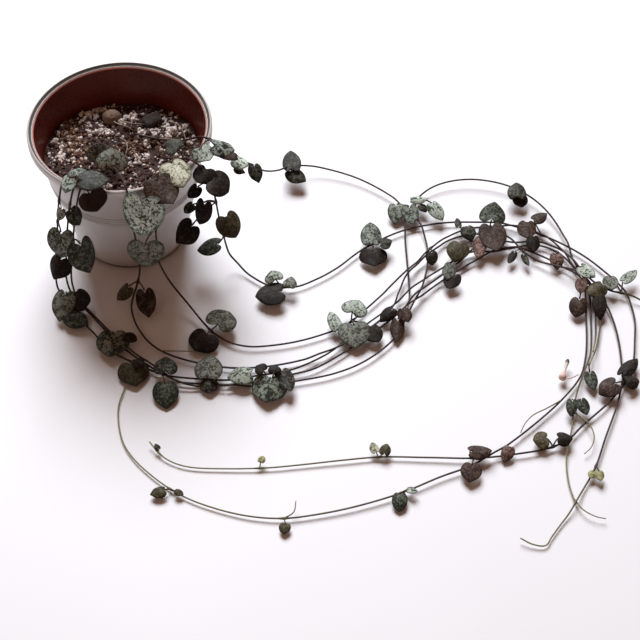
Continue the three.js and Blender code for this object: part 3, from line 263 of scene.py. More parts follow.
# Larger leaves, in sets that grew from one place: (place on the stem, leaves as above).
LEAF_SETS = {
    "right_b": [
        ((49, -12.8, 85), [
            ((50, -18, 87), (63, -18, 83), 13, 0, "marbled"),
            ((44, -20, 87.5), (50, -28, 84), 13, 0, "silver"),
            ((53, -19, 84), (65, -23, 80), 8, 0, "brown"),
        ]),
        ((62.5, -13.5, 74), [
            ((61, -18.5, 76), (70, -22.5, 74), 9, 0, "silver"),
            ((62, -20, 71), (68, -22.5, 69), 5, 0, "slate"),
        ]),
        ((69, -6, 60), [((71.5, -6.5, 60), (75, -15, 54), 8, 0, "slate")]),
        ((92, 40, 9), [
            ((92, 33, 11), (91, 50, 12), 11, 0, "slate"),
            ((89, 37, 10), (100, 29.5, 7), 11, 0, "slate"),
        ]),
        ((155, 14, 3.5), [
            ((153, 14, 6), (151.5, 0, 4), 10, 0, "speckled"),
            ((159.5, 12, 6.5), (161.5, -2, 4), 10, 0, "speckled"),
        ]),
        ((153.5, -70, 2.5), [
            ((151, -71, 6), (150, -86, 3), 8, 0, "brown"),
            ((149, -66, 8), (141, -73, 5), 8, 0, "shade"),
            ((153.5, -67, 9.5), (156.5, -76, 7.5), 8, 0, "brown"),
        ]),
    ],
    "left_a": [
        ((-25, -42, 84.8), [
            ((-21.5, -41, 87.5), (-24, -51, 83.5), 8, 0, "silver"),
            ((-19, -44, 88), (-17, -34.5, 86), 12, 0, "speckled"),
        ]),
        ((-31.5, -48.6, 59), [((-29, -54, 60), (-31, -61, 42), 16, 0, "speckled")]),
        ((-35, -50, 35), [((-31.5, -51.5, 35), (-37, -60, 25), 14, 0, "shade")]),
        ((-33, -57, 3.5), [
            ((-31.5, -56, 12), (-35, -73, 5), 13, 0, "grey"),
            ((-32, -68, 6.5), (-19, -76, 5), 12, 0, "green"),
        ]),
        ((6, -99, 2.5), [
            ((7, -102, 8), (10, -116, 4), 17, 0, "rimmed"),
            ((9, -103, 9.5), (14, -106.5, 9.5), 7, 0, "shade"),
        ]),
        ((47, -111, 2.5), [
            ((48, -115, 8), (49.5, -98.5, 9), 15, 0, "grey"),
            ((49, -113, 6), (49, -121, 3.5), 10, 0, "slate"),
        ]),
        ((188, -24.5, 2.5), [((188, -18, 9), (184, -31, 6.5), 13, 0, "olive")]),
    ],
    "left_b": [
        ((-27, -58, 4.2), [((-28, -55, 10), (-22, -67, 6.5), 14, 0, "shade")]),
        ((24, -108.5, 2.5), [
            ((25.5, -112, 8), (25.5, -101, 9.5), 13, 0, "green"),
            ((25.5, -114, 6.5), (27, -130, 3.5), 14, 0, "green"),
        ]),
        ((68, -113.6, 2.5), [((73, -110.5, 7.5), (58.5, -111.5, 6.5), 12, 0, "silver")]),
        ((181, -39, 2.5), [
            ((182, -34, 9), (179, -45, 6), 8, 0, "grey"),
            ((184, -40, 7), (179.5, -50, 4), 10, 0, "shade"),
        ]),
        ((243, -127, 2.5), [
            ((241.5, -126, 6.5), (240, -137, 5), 6, 0, "green"),
            ((245.5, -126, 6.5), (248.5, -136, 5), 7, 0, "green"),
        ]),
    ],
    "left_c": [
        ((-15.5, -46.5, 84.8), [
            ((-18, -48, 90), (-1, -45, 89), 14, 0, "slate"),
            ((-12, -51.5, 87), (-8, -57.5, 77), 16, 180, "shade"),
        ]),
        ((-23.5, -54.5, 52), [((-20, -57, 54), (-15, -62.5, 33), 16.5, 0, "green")]),
        ((-5, -82, 2.5), [
            ((-4, -81, 8), (-5, -98, 5), 18, 0, "speckled"),
            ((1.5, -84.5, 7), (9, -87.5, 7), 7, 0, "shade"),
        ]),
        ((81, -115, 2.5), [
            ((82, -111, 8.5), (80, -128, 5), 19, 0, "speckled"),
            ((87, -108, 8.5), (93, -122, 6), 10, 0, "slate"),
            ((79, -111, 9.5), (74, -107.5, 10), 8, 0, "shade"),
            ((84, -113, 10), (84, -107, 10.5), 7, 0, "shade"),
        ]),
        ((165, 19, 3), [
            ((160, 14.5, 7.5), (171, 14, 8.5), 6, 0, "silver"),
            ((172, 12, 9), (179, 0, 6), 9, 0, "silver"),
            ((166, 12, 6.5), (170, 7, 5.5), 5, 0, "slate"),
        ]),
        ((222, 26, 5), [
            ((222.5, 13.5, 9), (223, 27, 10), 11, 0, "slate"),
            ((224.5, 20, 7.5), (225.5, 11, 4.5), 9, 0, "shade"),
        ]),
        ((256, -41, 2.5), [
            ((252.5, -39, 12), (261, -47, 11), 9, 0, "silver"),
            ((254, -47, 11), (252, -57, 9), 7, 0, "blush"),
            ((252, -58, 8), (249, -70, 4.5), 10, 0, "brown"),
        ]),
    ],
    "front_b": [
        ((17.5, -45.5, 85.2), [((22, -42, 88), (31.5, -56, 81), 19, 0, "brown")]),
        ((19.5, -50, 78), [((16.5, -53, 86.5), (14, -63, 62.5), 23, 0, "frosted")]),
        ((20.4, -50.3, 55), [((15, -56.5, 54), (15, -62, 37), 20, 0, "grey")]),
        ((48, -78, 3.1), [
            ((51, -79.5, 7), (58.5, -67, 7), 18, 0, "grey"),
            ((48, -81, 6), (40, -93, 4), 18, 0, "shade"),
        ]),
        ((126, -71, 2.5), [
            ((118.5, -81, 6), (113.5, -68, 7.5), 7.5, 0, "silver"),
            ((125, -72, 9), (130, -62, 10), 15, 0, "silver"),
            ((126.5, -75, 8), (127.5, -91.5, 5.5), 18, 0, "grey"),
            ((135, -77, 6.5), (140, -88, 4.5), 11, 0, "shade"),
        ]),
        ((228, -5.5, 2.5), [((227, -2, 8.5), (226, -14.5, 6), 11, 0, "brown")]),
    ],
    "front_a": [
        ((-1.5, -22, 70), [
            ((-10.5, -15, 68.5), (-11, -9, 78.5), 14, 0, "grey"),
            ((-4, -22, 69), (-3.5, -13, 78.5), 17, 0, "silver"),
        ]),
        ((7.5, -52, 13), [
            ((3.5, -54, 13), (-4, -60, 7), 9, 0, "olive"),
            ((11, -55, 12), (14, -70, 4), 11, 0, "dusky"),
        ]),
        ((204, -8.5, 2.5), [
            ((206, -5, 9), (209, 9, 11), 15, 0, "green"),
            ((205.5, -5, 10), (208, -25, 7), 16, 0, "brown"),
            ((200, -13.5, 8), (197.5, -29, 5.5), 8, 0, "blush"),
        ]),
        ((264, -47, 2.5), [
            ((266, -50, 9.5), (256, -58, 9), 11, 0, "olive"),
            ((262.5, -56, 9), (262.5, -71.5, 4.5), 8, 0, "shade"),
        ]),
        ((277, -52.6, 2.5), [
            ((276.5, -47, 6), (286, -38.5, 7), 6.5, 0, "silver"),
            ((270, -43, 8), (270.5, -53, 7), 9, 0, "grey"),
        ]),
    ],
    "right_a": [
        ((36, -24, 80.5), [
            ((29, -29.5, 87.5), (37, -46.5, 85), 17, 0, "cream"),
            ((34, -20.5, 85), (27, -15.5, 86), 12, 0, "slate"),
        ]),
        ((49.5, -31.5, 72), [
            ((50, -36, 80), (61, -40, 74), 18, 0, "shade"),
            ((44, -35, 73), (38.5, -41, 69), 8, 0, "shade"),
            ((49, -29.5, 82), (44, -39, 78), 14, 0, "shade"),
        ]),
        ((52, -31.5, 56), [
            ((41, -39, 63), (35.5, -43, 60), 7, 0, "slate"),
            ((47, -38, 65), (43, -44, 51), 11, 0, "shade"),
            ((41, -43.5, 53), (31, -51, 45), 16, 0, "shade"),
        ]),
        ((54.8, -29.8, 27), [
            ((55.5, -24, 39), (62.5, -33, 28), 15, 0, "olive"),
            ((53.5, -31, 22), (39, -32, 17), 12, 0, "green"),
        ]),
        ((87, -47.2, 2.5), [
            ((89, -53, 7), (72, -56, 5), 16, 0, "shade"),
            ((84, -47.5, 8), (81, -41, 10), 11, 0, "silver"),
            ((90.5, -52, 8), (92.5, -44, 8.5), 8, 0, "grey"),
        ]),
        ((139, -14.8, 2.5), [
            ((137.5, -21, 7), (137, -3, 7.5), 12, 0, "speckled"),
            ((141.5, -19.5, 8), (149, -17, 7), 9, 0, "slate"),
            ((138, -21, 6.5), (139, -33, 4), 16, 0, "shade"),
        ]),
        ((271.5, -113.5, 2.5), [
            ((268.5, -112, 6.5), (279.5, -98.5, 6), 8, 0, "shade"),
            ((270.5, -115, 7), (279, -113, 5), 10, 0, "shade"),
            ((267, -116, 7.5), (256, -122, 5), 12, 0, "brown"),
        ]),
        ((229, -154.6, 2.5), [
            ((227, -151, 6), (218.5, -152, 5), 11, 0, "olive"),
            ((231, -151, 6), (239.5, -151, 5), 9, 0, "shade"),
        ]),
        ((188, -161.7, 2.5), [
            ((184, -160.5, 7), (197, -159.5, 6), 9, 0, "brown"),
            ((186.5, -166, 6), (184.5, -177, 4), 11, 0, "brown"),
        ]),
    ],
}

# Each look: dark and pale colours of the upper face, the colour of the lower face, the share
# that the pale marks cover, the veins' strength (below zero they are dark) and the roughness.
LEAF_LOOKS = {
    "silver": ((58, 68, 60), (184, 194, 182), (92, 80, 76), 0.6, -0.3, 0.6),
    "frosted": ((60, 78, 71), (210, 228, 219), (92, 80, 76), 0.52, -0.4, 0.55),
    "cream": ((92, 94, 76), (206, 206, 184), (104, 92, 80), 0.66, -0.3, 0.6),
    "marbled": ((34, 40, 36), (164, 174, 164), (62, 48, 44), 0.42, -0.4, 0.55),
    "speckled": ((42, 48, 43), (138, 146, 134), (68, 54, 50), 0.5, -0.3, 0.58),
    "grey": ((64, 68, 62), (136, 141, 131), (78, 66, 62), 0.5, 0.2, 0.6),
    "green": ((38, 43, 37), (104, 110, 98), (60, 46, 42), 0.38, 0.25, 0.56),
    "slate": ((38, 38, 34), (98, 100, 90), (54, 42, 38), 0.36, 0.25, 0.55),
    "shade": ((26, 20, 18), (62, 52, 46), (42, 29, 26), 0.35, 0.2, 0.6),
    "dusky": ((42, 34, 32), (90, 82, 76), (56, 42, 40), 0.4, -0.3, 0.6),
    "olive": ((56, 52, 38), (98, 92, 70), (72, 56, 46), 0.4, 0.25, 0.58),
    "brown": ((50, 38, 34), (94, 78, 70), (62, 46, 42), 0.42, 0.15, 0.58),
    "blush": ((72, 52, 47), (136, 112, 103), (84, 60, 56), 0.45, 0.15, 0.58),
    "rimmed": ((56, 48, 42), (84, 88, 66), (56, 42, 40), 0.45, 0.15, 0.58),
    "young": ((112, 114, 76), (172, 172, 128), (110, 100, 78), 0.5, 0.25, 0.55),
}


# ---- settings ----
def linear(*srgb):
    """A linear colour from its everyday 0 to 255 values."""
    shares = [value / 255 for value in srgb]
    return tuple(s / 12.92 if s <= 0.04045 else ((s + 0.055) / 1.055) ** 2.4 for s in shares)


def colour(name, description, *srgb):
    return bpy.props.FloatVectorProperty(
        name=name, description=description, subtype="COLOR", size=3, min=0, max=1,
        default=linear(*srgb),
    )


def length(name, description, millimetres):
    return bpy.props.FloatProperty(
        name=name, description=description, unit="LENGTH", min=0, default=millimetres * MM,
    )


def number(name, description, default):
    return bpy.props.IntProperty(name=name, description=description, min=0, default=default)


class PotSettings(bpy.types.PropertyGroup):
    """Sizes and colours of the pot."""

    sides: number("Sides", "Faces round the pot", 128)
    outer_colour: colour("Outside", "The white outer plastic", 200, 195, 192)
    # Painted shade: the slope on top of the rim is coloured dark grey for the shadow it lies in.
    lip_shadow_colour: colour("Lip", "The grey slope on top of the rim", 104, 100, 96)
    lining_colour: colour("Lining", "The dark red-brown inside", 112, 44, 34)
    # Painted highlight: a pink band stands for the glossy reflection on the lining just under the rim.
    edge_highlight_colour: colour("Inner edge", "The pink edge where the lining meets the lip", 214, 150, 140)


class MixSettings(bpy.types.PropertyGroup):
    """Grains and colours of the potting mix."""

    perlite_count: number("Perlite", "White grains", 1100)
    grit_count: number("Grit", "Orange-brown grains", 900)
    crumb_count: number("Crumbs", "Dark crumbs of peat", 1000)
    peat_colour: colour("Peat", "The dark ground of the mix", 64, 38, 28)
    perlite_colour: colour("Perlite colour", "The pale grains", 246, 234, 228)
    grit_colour: colour("Grit colour", "The orange-brown grains", 180, 136, 104)
    tuber_colour: colour("Tuber", "The skin of the tuber", 128, 98, 78)
    bark_colour: colour("Bark", "The chip of bark", 46, 32, 27)


class StemSettings(bpy.types.PropertyGroup):
    """Thickness and colours of the stems."""

    radius: length("Radius", "Radius of an old stem", 0.54)
    tip_radius: length("Tip radius", "Radius of a stem at its free end", 0.38)
    sides: number("Sides", "Faces round a stem", 8)
    old_colour: colour("Old stem", "Colour of an old stem", 60, 42, 40)
    young_colour: colour("Young stem", "Colour of a growing tip", 150, 146, 108)


class LeafSettings(bpy.types.PropertyGroup):
    """Shape of the leaves."""

    thickness: length("Thickness", "Thickness of a large leaf", 1.0)
    cup: bpy.props.FloatProperty(
        name="Cup", description="How far the sides turn down, as a share of the width",
        default=0.1, min=-0.5, max=0.5,
    )
    sides: number("Sides", "Faces round a leaf", 36)
    rings: number("Rings", "Faces from the upper to the lower middle", 14)


class StageSettings(bpy.types.PropertyGroup):
    """Floor, lights and camera."""

    floor_colour: colour("Floor", "The pale floor", 238, 236, 240)
    key_power: bpy.props.FloatProperty(
        name="Key light", description="Power of the large light behind the plant",
        unit="POWER", default=146, min=0,
    )
    fill_power: bpy.props.FloatProperty(
        name="Fill light", description="Power of the light on the viewer's side",
        unit="POWER", default=0.6, min=0,
    )
    sky_strength: bpy.props.FloatProperty(
        name="Surroundings", description="Strength of the even light from all round",
        default=0.17, min=0,
    )


# ---- materials ----
class Finish:
    """One material, with short ways to add and join its nodes."""

    def __init__(self, name, roughness=0.5, **sockets):
        self.material = bpy.data.materials.new(name)
        self.material.use_nodes = True
        self.nodes = self.material.node_tree.nodes
        self.links = self.material.node_tree.links
        self.shader = self.nodes["Principled BSDF"]
        self.shader.inputs["Roughness"].default_value = roughness
        for socket, value in sockets.items():
            self.shader.inputs[socket.replace("_", " ")].default_value = value

    def put(self, socket, value):
        if isinstance(value, bpy.types.NodeSocket):
            self.links.new(value, socket)
        else:
            socket.default_value = value

    def add(self, kind, inputs=None, **settings):
        node = self.nodes.new("ShaderNode" + kind)
        for setting, value in settings.items():
            setattr(node, setting, value)
        for socket, value in (inputs or {}).items():
            self.put(node.inputs[socket], value)
        return node

    def place(self):
        """Object coordinates, in millimetres."""
        object_place = self.add("TexCoord").outputs["Object"]
        return self.add("VectorMath", {0: object_place, 3: 1 / MM}, operation="SCALE").outputs[0]

    def attribute(self, name, output="Vector"):
        return self.add("Attribute", attribute_name=name).outputs[output]

    def grain(self, vector, scale, detail=3.0, roughness=0.55, distortion=0.0):
        inputs = {
            "Vector": vector, "Scale": scale, "Detail": detail,
            "Roughness": roughness, "Distortion": distortion,
        }
        return self.add("TexNoise", inputs).outputs["Fac"]

    def between(self, value, low, high, start=0.0, end=1.0):
        """A soft step of value from low to high, given as start to end."""
        inputs = {"Value": value, 1: low, 2: high, 3: start, 4: end}
        return self.add("MapRange", inputs, interpolation_type="SMOOTHSTEP").outputs[0]

    def sum(self, operation, first, second=0.0, third=0.0, clamp=False):
        inputs = {0: first, 1: second, 2: third}
        return self.add("Math", inputs, operation=operation, use_clamp=clamp).outputs[0]

    def mix(self, share, first, second, blend="MIX"):
        inputs = {0: share, 6: opaque(first), 7: opaque(second)}
        node = self.add("Mix", inputs, data_type="RGBA", blend_type=blend)
        return node.outputs[2]

    def base(self, value):
        self.put(self.shader.inputs["Base Color"], opaque(value))

    def rough(self, value):
        self.put(self.shader.inputs["Roughness"], value)

    def bump(self, height, distance, strength=1.0):
        inputs = {"Height": height, "Distance": distance * MM, "Strength": strength}
        self.put(self.shader.inputs["Normal"], self.add("Bump", inputs).outputs[0])


def opaque(value):
    if isinstance(value, bpy.types.NodeSocket):
        return value
    return (*value, 1.0)


def plain_plastic(name, shade, roughness, speckle):
    finish = Finish(name, roughness)
    place = finish.place()
    cloud = finish.grain(place, 0.05, 2)
    worn = finish.grain(place, 0.9, 4, 0.7)
    dull = tuple(part * speckle for part in shade)
    finish.base(finish.mix(finish.between(cloud, 0.35, 0.75), shade, dull))
    finish.rough(finish.between(worn, 0.3, 0.8, roughness * 0.85, roughness * 1.25))
    finish.bump(worn, 0.03, 0.35)
    return finish.material


def outside_plastic(shade):
    """White plastic, with painted shade in the grooves between the ridges and a painted contact shadow
    round its foot.
    """
    finish = Finish("pot_outside", 0.36)
    place = finish.place()
    height = finish.add("SeparateXYZ", {0: place}).outputs[2]
    # Painted shade: this mask darkens the grooves between the ridges.
    above = finish.sum("SUBTRACT", height, RIDGE_BOTTOM)
    turns = finish.sum("MULTIPLY", above, 2 * math.pi / RIDGE_PITCH)
    groove = finish.between(finish.sum("COSINE", turns), 0.35, 1.0)
    above_foot = finish.between(height, RIDGE_BOTTOM - 0.5, RIDGE_BOTTOM - 0.3)
    band_top = RIDGE_BOTTOM + RIDGE_COUNT * RIDGE_PITCH
    below_top = finish.between(height, band_top + 0.3, band_top + 0.5, 1, 0)
    groove = finish.sum("MULTIPLY", groove, finish.sum("MULTIPLY", above_foot, below_top))
    dust = finish.grain(place, 0.06, 3)
    worn = finish.grain(place, 0.9, 4, 0.7)
    unshaded_plastic = finish.mix(finish.between(dust, 0.35, 0.7), shade, darker(shade, 0.9))
    # Painted contact shadow: the wall darkens towards its bottom edge, where the pot meets the floor.
    foot = finish.between(height, 1.9, 2.7, 0.97, 0)
    # The painted shade of the grooves and the painted shadow at the foot, as one mask.
    painted_shade = finish.sum("MAXIMUM", finish.sum("MULTIPLY", groove, 0.6), foot)
    finish.base(finish.mix(painted_shade, unshaded_plastic, darker(shade, 0.1)))
    finish.rough(finish.between(worn, 0.3, 0.8, 0.3, 0.45))
    finish.bump(worn, 0.03, 0.35)
    return finish.material


def earthy(name, dark, pale, scale, bump_height, roughness=0.9):
    finish = Finish(name, roughness)
    place = finish.place()
    coarse = finish.grain(place, scale, 5, 0.7)
    fine = finish.grain(place, scale * 4, 4, 0.7)
    finish.base(finish.mix(finish.between(coarse, 0.38, 0.64), dark, pale))
    finish.rough(finish.between(fine, 0.3, 0.7, roughness - 0.12, roughness))
    finish.bump(fine, bump_height, 0.8)
    return finish.material


def darker(shade, share):
    return tuple(part * share for part in shade)


def warmer(shade):
    red, green, blue = shade
    return (red * 1.1, green, blue * 0.86)


def stem_skin(settings):
    finish = Finish("stem_skin", 0.5, Specular_IOR_Level=0.25)
    place = finish.place()
    youth = finish.attribute("youth", "Fac")
    cloud = finish.grain(place, 0.35, 3)
    fine = finish.grain(place, 3.0, 3)
    old = tuple(settings.old_colour)
    young = tuple(settings.young_colour)
    varied = finish.mix(finish.between(cloud, 0.3, 0.7), darker(old, 0.6), darker(old, 1.35))
    growing = finish.mix(finish.between(fine, 0.3, 0.7), darker(young, 0.75), young)
    finish.base(finish.mix(youth, varied, growing))
    finish.rough(finish.between(fine, 0.3, 0.7, 0.42, 0.6))
    finish.bump(fine, 0.06, 0.5)
    return finish.material


VEIN_PITCH = 2.7
VEIN_SLANT = 0.8


def leaf_skin(name):
    """A leaf's finish: marbled above, plainer below, read from each leaf's own place."""
    dark, pale, under, cover, veins, roughness = LEAF_LOOKS[name]
    dark, pale, under = warmer(linear(*dark)), linear(*pale), warmer(linear(*under))
    finish = Finish("leaf_" + name, roughness, Specular_IOR_Level=0.16)
    place = finish.attribute("leaf_place")
    parts = finish.add("SeparateXYZ", {0: place}).outputs
    side = finish.add("SeparateXYZ", {0: finish.attribute("leaf_side")}).outputs
    off_middle = finish.sum("ABSOLUTE", parts[1])
    midrib = finish.between(off_middle, 0.12, 0.5, 1, 0)
    slant = finish.sum("MULTIPLY_ADD", off_middle, -VEIN_SLANT, parts[0])
    turn = finish.sum("SINE", finish.sum("MULTIPLY", slant, 2 * math.pi / VEIN_PITCH))
    side_veins = finish.between(turn, 0.8, 1.0, 0, 0.55)
    vein = finish.sum("MAXIMUM", midrib, side_veins)
    blotch = finish.grain(place, 0.3, 3, 0.6, 0.4)
    speck = finish.grain(place, 0.85, 3, 0.65, 0.5)
    mottle = finish.sum("MULTIPLY_ADD", speck, 0.6, finish.sum("MULTIPLY", blotch, 0.4))
    middle = 0.5 + (0.5 - cover) * 0.26
    marks = finish.between(mottle, middle - 0.045, middle + 0.045)
    marks = finish.sum("MULTIPLY_ADD", vein, veins, marks, clamp=True)
    rim = finish.between(side[1], 0.8, 1.0, 1, 0.3)
    marks = finish.sum("MULTIPLY", marks, rim)
    cloud = finish.between(finish.grain(place, 0.13, 1), 0.3, 0.7, 0.82, 1.16)
    tone = finish.sum("MULTIPLY", side[2], cloud)
    above = finish.mix(marks, dark, pale)
    below = finish.mix(finish.between(blotch, 0.35, 0.65), darker(under, 0.75), darker(under, 1.2))
    skin = finish.mix(finish.between(side[0], 0.4, 0.7), below, above)
    shaded = finish.add("VectorMath", {0: skin, 3: tone}, operation="SCALE").outputs[0]
    finish.base(shaded)
    finish.rough(finish.between(speck, 0.3, 0.7, roughness - 0.08, roughness + 0.1))
    relief = finish.sum("MULTIPLY_ADD", vein, -0.8, speck)
    finish.bump(relief, 0.12, 0.5)
    return finish.material


FINISHES = {}


def finish_of(name, maker, *values):
    """The material of that name, made once."""
    if name not in FINISHES:
        FINISHES[name] = maker(*values)
    return FINISHES[name]


# ---- pieces ----
def add_piece(name, mesh_work, skins, nodes=(), smooth=True):
    """Turns finished mesh work into a piece that rides on the plant and stands for nodes."""
    mesh = bpy.data.meshes.new(name)
    mesh_work.to_mesh(mesh)
    mesh_work.free()
    for skin in skins:
        mesh.materials.append(skin)
    mesh.polygons.foreach_set("use_smooth", [smooth] * len(mesh.polygons))
    piece = bpy.data.objects.new(name, mesh)
    bpy.context.scene.collection.objects.link(piece)
    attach(piece, BODY)
    if nodes:
        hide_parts(*nodes)
    return piece


def shared(vertices, layer, value):
    for vertex in vertices:
        vertex[layer] = value


def spun(work, profile, sides):
    """A closed solid of revolution about Z: the profile runs from the axis back to the axis."""
    points = [work.verts.new((radius * MM, 0, height * MM)) for radius, height in profile]
    edges = [work.edges.new(pair) for pair in zip(points, points[1:])]
    bmesh.ops.spin(
        work, geom=points + edges, cent=(0, 0, 0), axis=(0, 0, 1), dvec=(0, 0, 0),
        angle=2 * math.pi, steps=sides, use_merge=True, use_duplicate=False,
    )
    bmesh.ops.remove_doubles(work, verts=work.verts, dist=1e-6)
    bmesh.ops.recalc_face_normals(work, faces=work.faces)


def tube(work, points, radii, sides):
    """A capped tube through points, all in metres. Its rings of vertices, from first to last."""
    steps = [(after - before).normalized() for before, after in zip(points, points[1:])]
    headings = [steps[0]]
    headings += [(into + out).normalized() for into, out in zip(steps, steps[1:])]
    headings.append(steps[-1])
    turn = Vector((0, 0, 1)).rotation_difference(headings[0])
    place = Matrix.Translation(points[0]) @ turn.to_matrix().to_4x4()
    ring = bmesh.ops.create_circle(
        work, cap_ends=True, cap_tris=False, segments=sides, radius=radii[0], matrix=place,
    )["verts"]
    edges = ring_edges(ring)
    rings = [ring]
    for index in range(1, len(points)):
        grown = bmesh.ops.extrude_edge_only(work, edges=edges)["geom"]
        ring = [part for part in grown if isinstance(part, bmesh.types.BMVert)]
        edges = [
            part for part in grown
            if isinstance(part, bmesh.types.BMEdge) and set(part.verts) <= set(ring)
        ]
        swing = headings[index - 1].rotation_difference(headings[index]).to_matrix().to_4x4()
        scale = Matrix.Scale(radii[index] / radii[index - 1], 4)
        home = Matrix.Translation(-points[index - 1])
        move = Matrix.Translation(points[index]) @ swing @ scale @ home
        bmesh.ops.transform(work, matrix=move, verts=ring)
        rings.append(ring)
    bmesh.ops.contextual_create(work, geom=edges)
    return rings


def ring_edges(ring):
    """The edges that join the vertices of one ring."""
    members = set(ring)
    return list({
        edge for vertex in ring for edge in vertex.link_edges if edge.other_vert(vertex) in members
    })


# ---- pot ----
def outer_radius(height):
    neck = POT_HEIGHT - SKIRT_DEPTH
    return BASE_RADIUS + (NECK_RADIUS - BASE_RADIUS) * min(height / neck, 1)


def inner_radius(height):
    return outer_radius(height) - WALL


def pot_profile():
    """The pot's wall from the middle of its underside, up the outside and down the inside."""
    neck = POT_HEIGHT - SKIRT_DEPTH
    flange = POT_HEIGHT - FLANGE_DROP
    profile = [(0, UNDERSIDE_LIFT), (25.5, UNDERSIDE_LIFT), (26.5, 0)]
    profile += [(BASE_RADIUS - 1.6, 0), (BASE_RADIUS - 0.6, 0.4)]
    profile += [(BASE_RADIUS - 0.1, 1.2), (BASE_RADIUS, FOOT_HEIGHT), (BASE_RADIUS - 0.3, 3.2)]
    profile += [(outer_radius(height), height) for height in (6, 16, 26, 36, 44)]
    for ridge in range(RIDGE_COUNT):
        foot = RIDGE_BOTTOM + ridge * RIDGE_PITCH
        for share, rise in ((0, 0), (0.3, 0.6), (0.5, 1), (0.7, 0.6)):
            height = foot + share * RIDGE_PITCH
            profile.append((outer_radius(height) + rise * RIDGE_HEIGHT, height))
    band_top = RIDGE_BOTTOM + RIDGE_COUNT * RIDGE_PITCH
    profile += [(outer_radius(height), height) for height in (band_top, 60, 70, neck)]
    profile += [(NECK_RADIUS, flange), (RIM_RADIUS - SKIRT_THICKNESS, flange)]
    profile += [(RIM_RADIUS - SKIRT_THICKNESS, neck + 0.3), (RIM_RADIUS - 0.8, neck)]
    profile += [(RIM_RADIUS - 0.2, neck), (RIM_RADIUS, neck + 0.4)]
    for step in range(5):
        angle = step * math.pi / 8
        out = RIM_RADIUS - RIM_BEND * (1 - math.cos(angle))
        profile.append((out, POT_HEIGHT - RIM_BEND * (1 - math.sin(angle))))
    inside = inner_radius(POT_HEIGHT)
    profile += [(RIM_RADIUS - 1.45, POT_HEIGHT - 0.35), (inside + 1.0, POT_HEIGHT - 1.5)]
    profile += [(inside + 0.7, POT_HEIGHT - 1.55), (inside + 0.3, POT_HEIGHT - 1.75)]
    profile += [(inside + 0.05, POT_HEIGHT - 2.3), (inner_radius(neck), neck)]
    profile += [(inner_radius(height), height) for height in (70, 60, 50, 30, 10)]
    profile += [(inner_radius(3), 3), (inner_radius(2) - 1, FLOOR_THICKNESS), (0, FLOOR_THICKNESS)]
    return profile


def pot_skin_index(face):
    """Which of the pot's skins a face has: 0 outside, 1 sloping lip in painted shade, 2 lining, 3 inner
    edge with a painted highlight.
    """
    middle = face.calc_center_median() / MM
    reach = math.hypot(middle.x, middle.y)
    if reach < RIM_RADIUS - LIP_WIDTH:
        if middle.z > POT_HEIGHT - LIP_DEPTH:
            return 1
        if middle.z > POT_HEIGHT - EDGE_DEPTH:
            return 3
    outward = face.normal.dot(Vector((middle.x, middle.y, 0)))
    above_floor = middle.z > FLOOR_THICKNESS - 0.1
    if above_floor and reach < inner_radius(middle.z) + WALL / 2 - 0.05 and outward < reach * 0.3:
        return 2
    return 0


class BuildPot(bpy.types.Operator):
    """Build the white nursery pot with its red-brown lining"""

    bl_idname = "hearts.build_pot"
    bl_label = "Pot"

    def execute(self, context):
        settings = context.scene.hearts_pot
        work = bmesh.new()
        spun(work, pot_profile(), settings.sides)
        for face in work.faces:
            face.material_index = pot_skin_index(face)
        # The lip's dark grey is painted shade, and the pink inner edge is a painted highlight.
        skins = [
            outside_plastic(tuple(settings.outer_colour)),
            plain_plastic("pot_lip", tuple(settings.lip_shadow_colour), 0.3, 0.8),
            plain_plastic("pot_lining", tuple(settings.lining_colour), 0.3, 0.7),
            plain_plastic("pot_edge_highlight", tuple(settings.edge_highlight_colour), 0.3, 0.85),
        ]
        piece = add_piece("pot_shell", work, skins, ["pot"])
        drill_drains(piece)
        piece.data.set_sharp_from_angle(angle=math.radians(42))
        return {"FINISHED"}


def drill_drains(pot):
    """Cuts the drain holes through the pot's floor."""
    work = bmesh.new()
    for drain in range(DRAIN_COUNT):
        angle = drain / DRAIN_COUNT * 2 * math.pi
        centre = Vector((math.cos(angle), math.sin(angle), 0)) * DRAIN_CIRCLE * MM
        bmesh.ops.create_cone(
            work, cap_ends=True, segments=24, radius1=DRAIN_RADIUS * MM, radius2=DRAIN_RADIUS * MM,
            depth=8 * MM, matrix=Matrix.Translation(centre),
        )
    mesh = bpy.data.meshes.new("drains")
    work.to_mesh(mesh)
    work.free()
    drains = bpy.data.objects.new("drains", mesh)
    bpy.context.scene.collection.objects.link(drains)
    cut = pot.modifiers.new("drains", "BOOLEAN")
    cut.operation = "DIFFERENCE"
    cut.solver = "EXACT"
    cut.object = drains
    graph = bpy.context.evaluated_depsgraph_get()
    drilled = bpy.data.meshes.new_from_object(pot.evaluated_get(graph), depsgraph=graph)
    pot.modifiers.remove(cut)
    whole = pot.data
    pot.data = drilled
    bpy.data.objects.remove(drains)
    bpy.data.meshes.remove(mesh)
    bpy.data.meshes.remove(whole)
    drilled.name = pot.name


# ---- potting mix ----
def soil_height(x, y):
    lumps = math.sin(x * 0.31 + 1.2) * math.cos(y * 0.27) + 0.6 * math.sin((x - y) * 0.19)
    return SOIL_LEVEL + SOIL_SLOPE * y + lumps


def rough_soil_height(x, y):
    """The soil's height with its crumbs, in millimetres."""
    crumbs = noise.fractal(Vector((x * 0.35, y * 0.35, 4.2)), 0.7, 2.1, 4)
    return soil_height(x, y) + 0.9 * crumbs


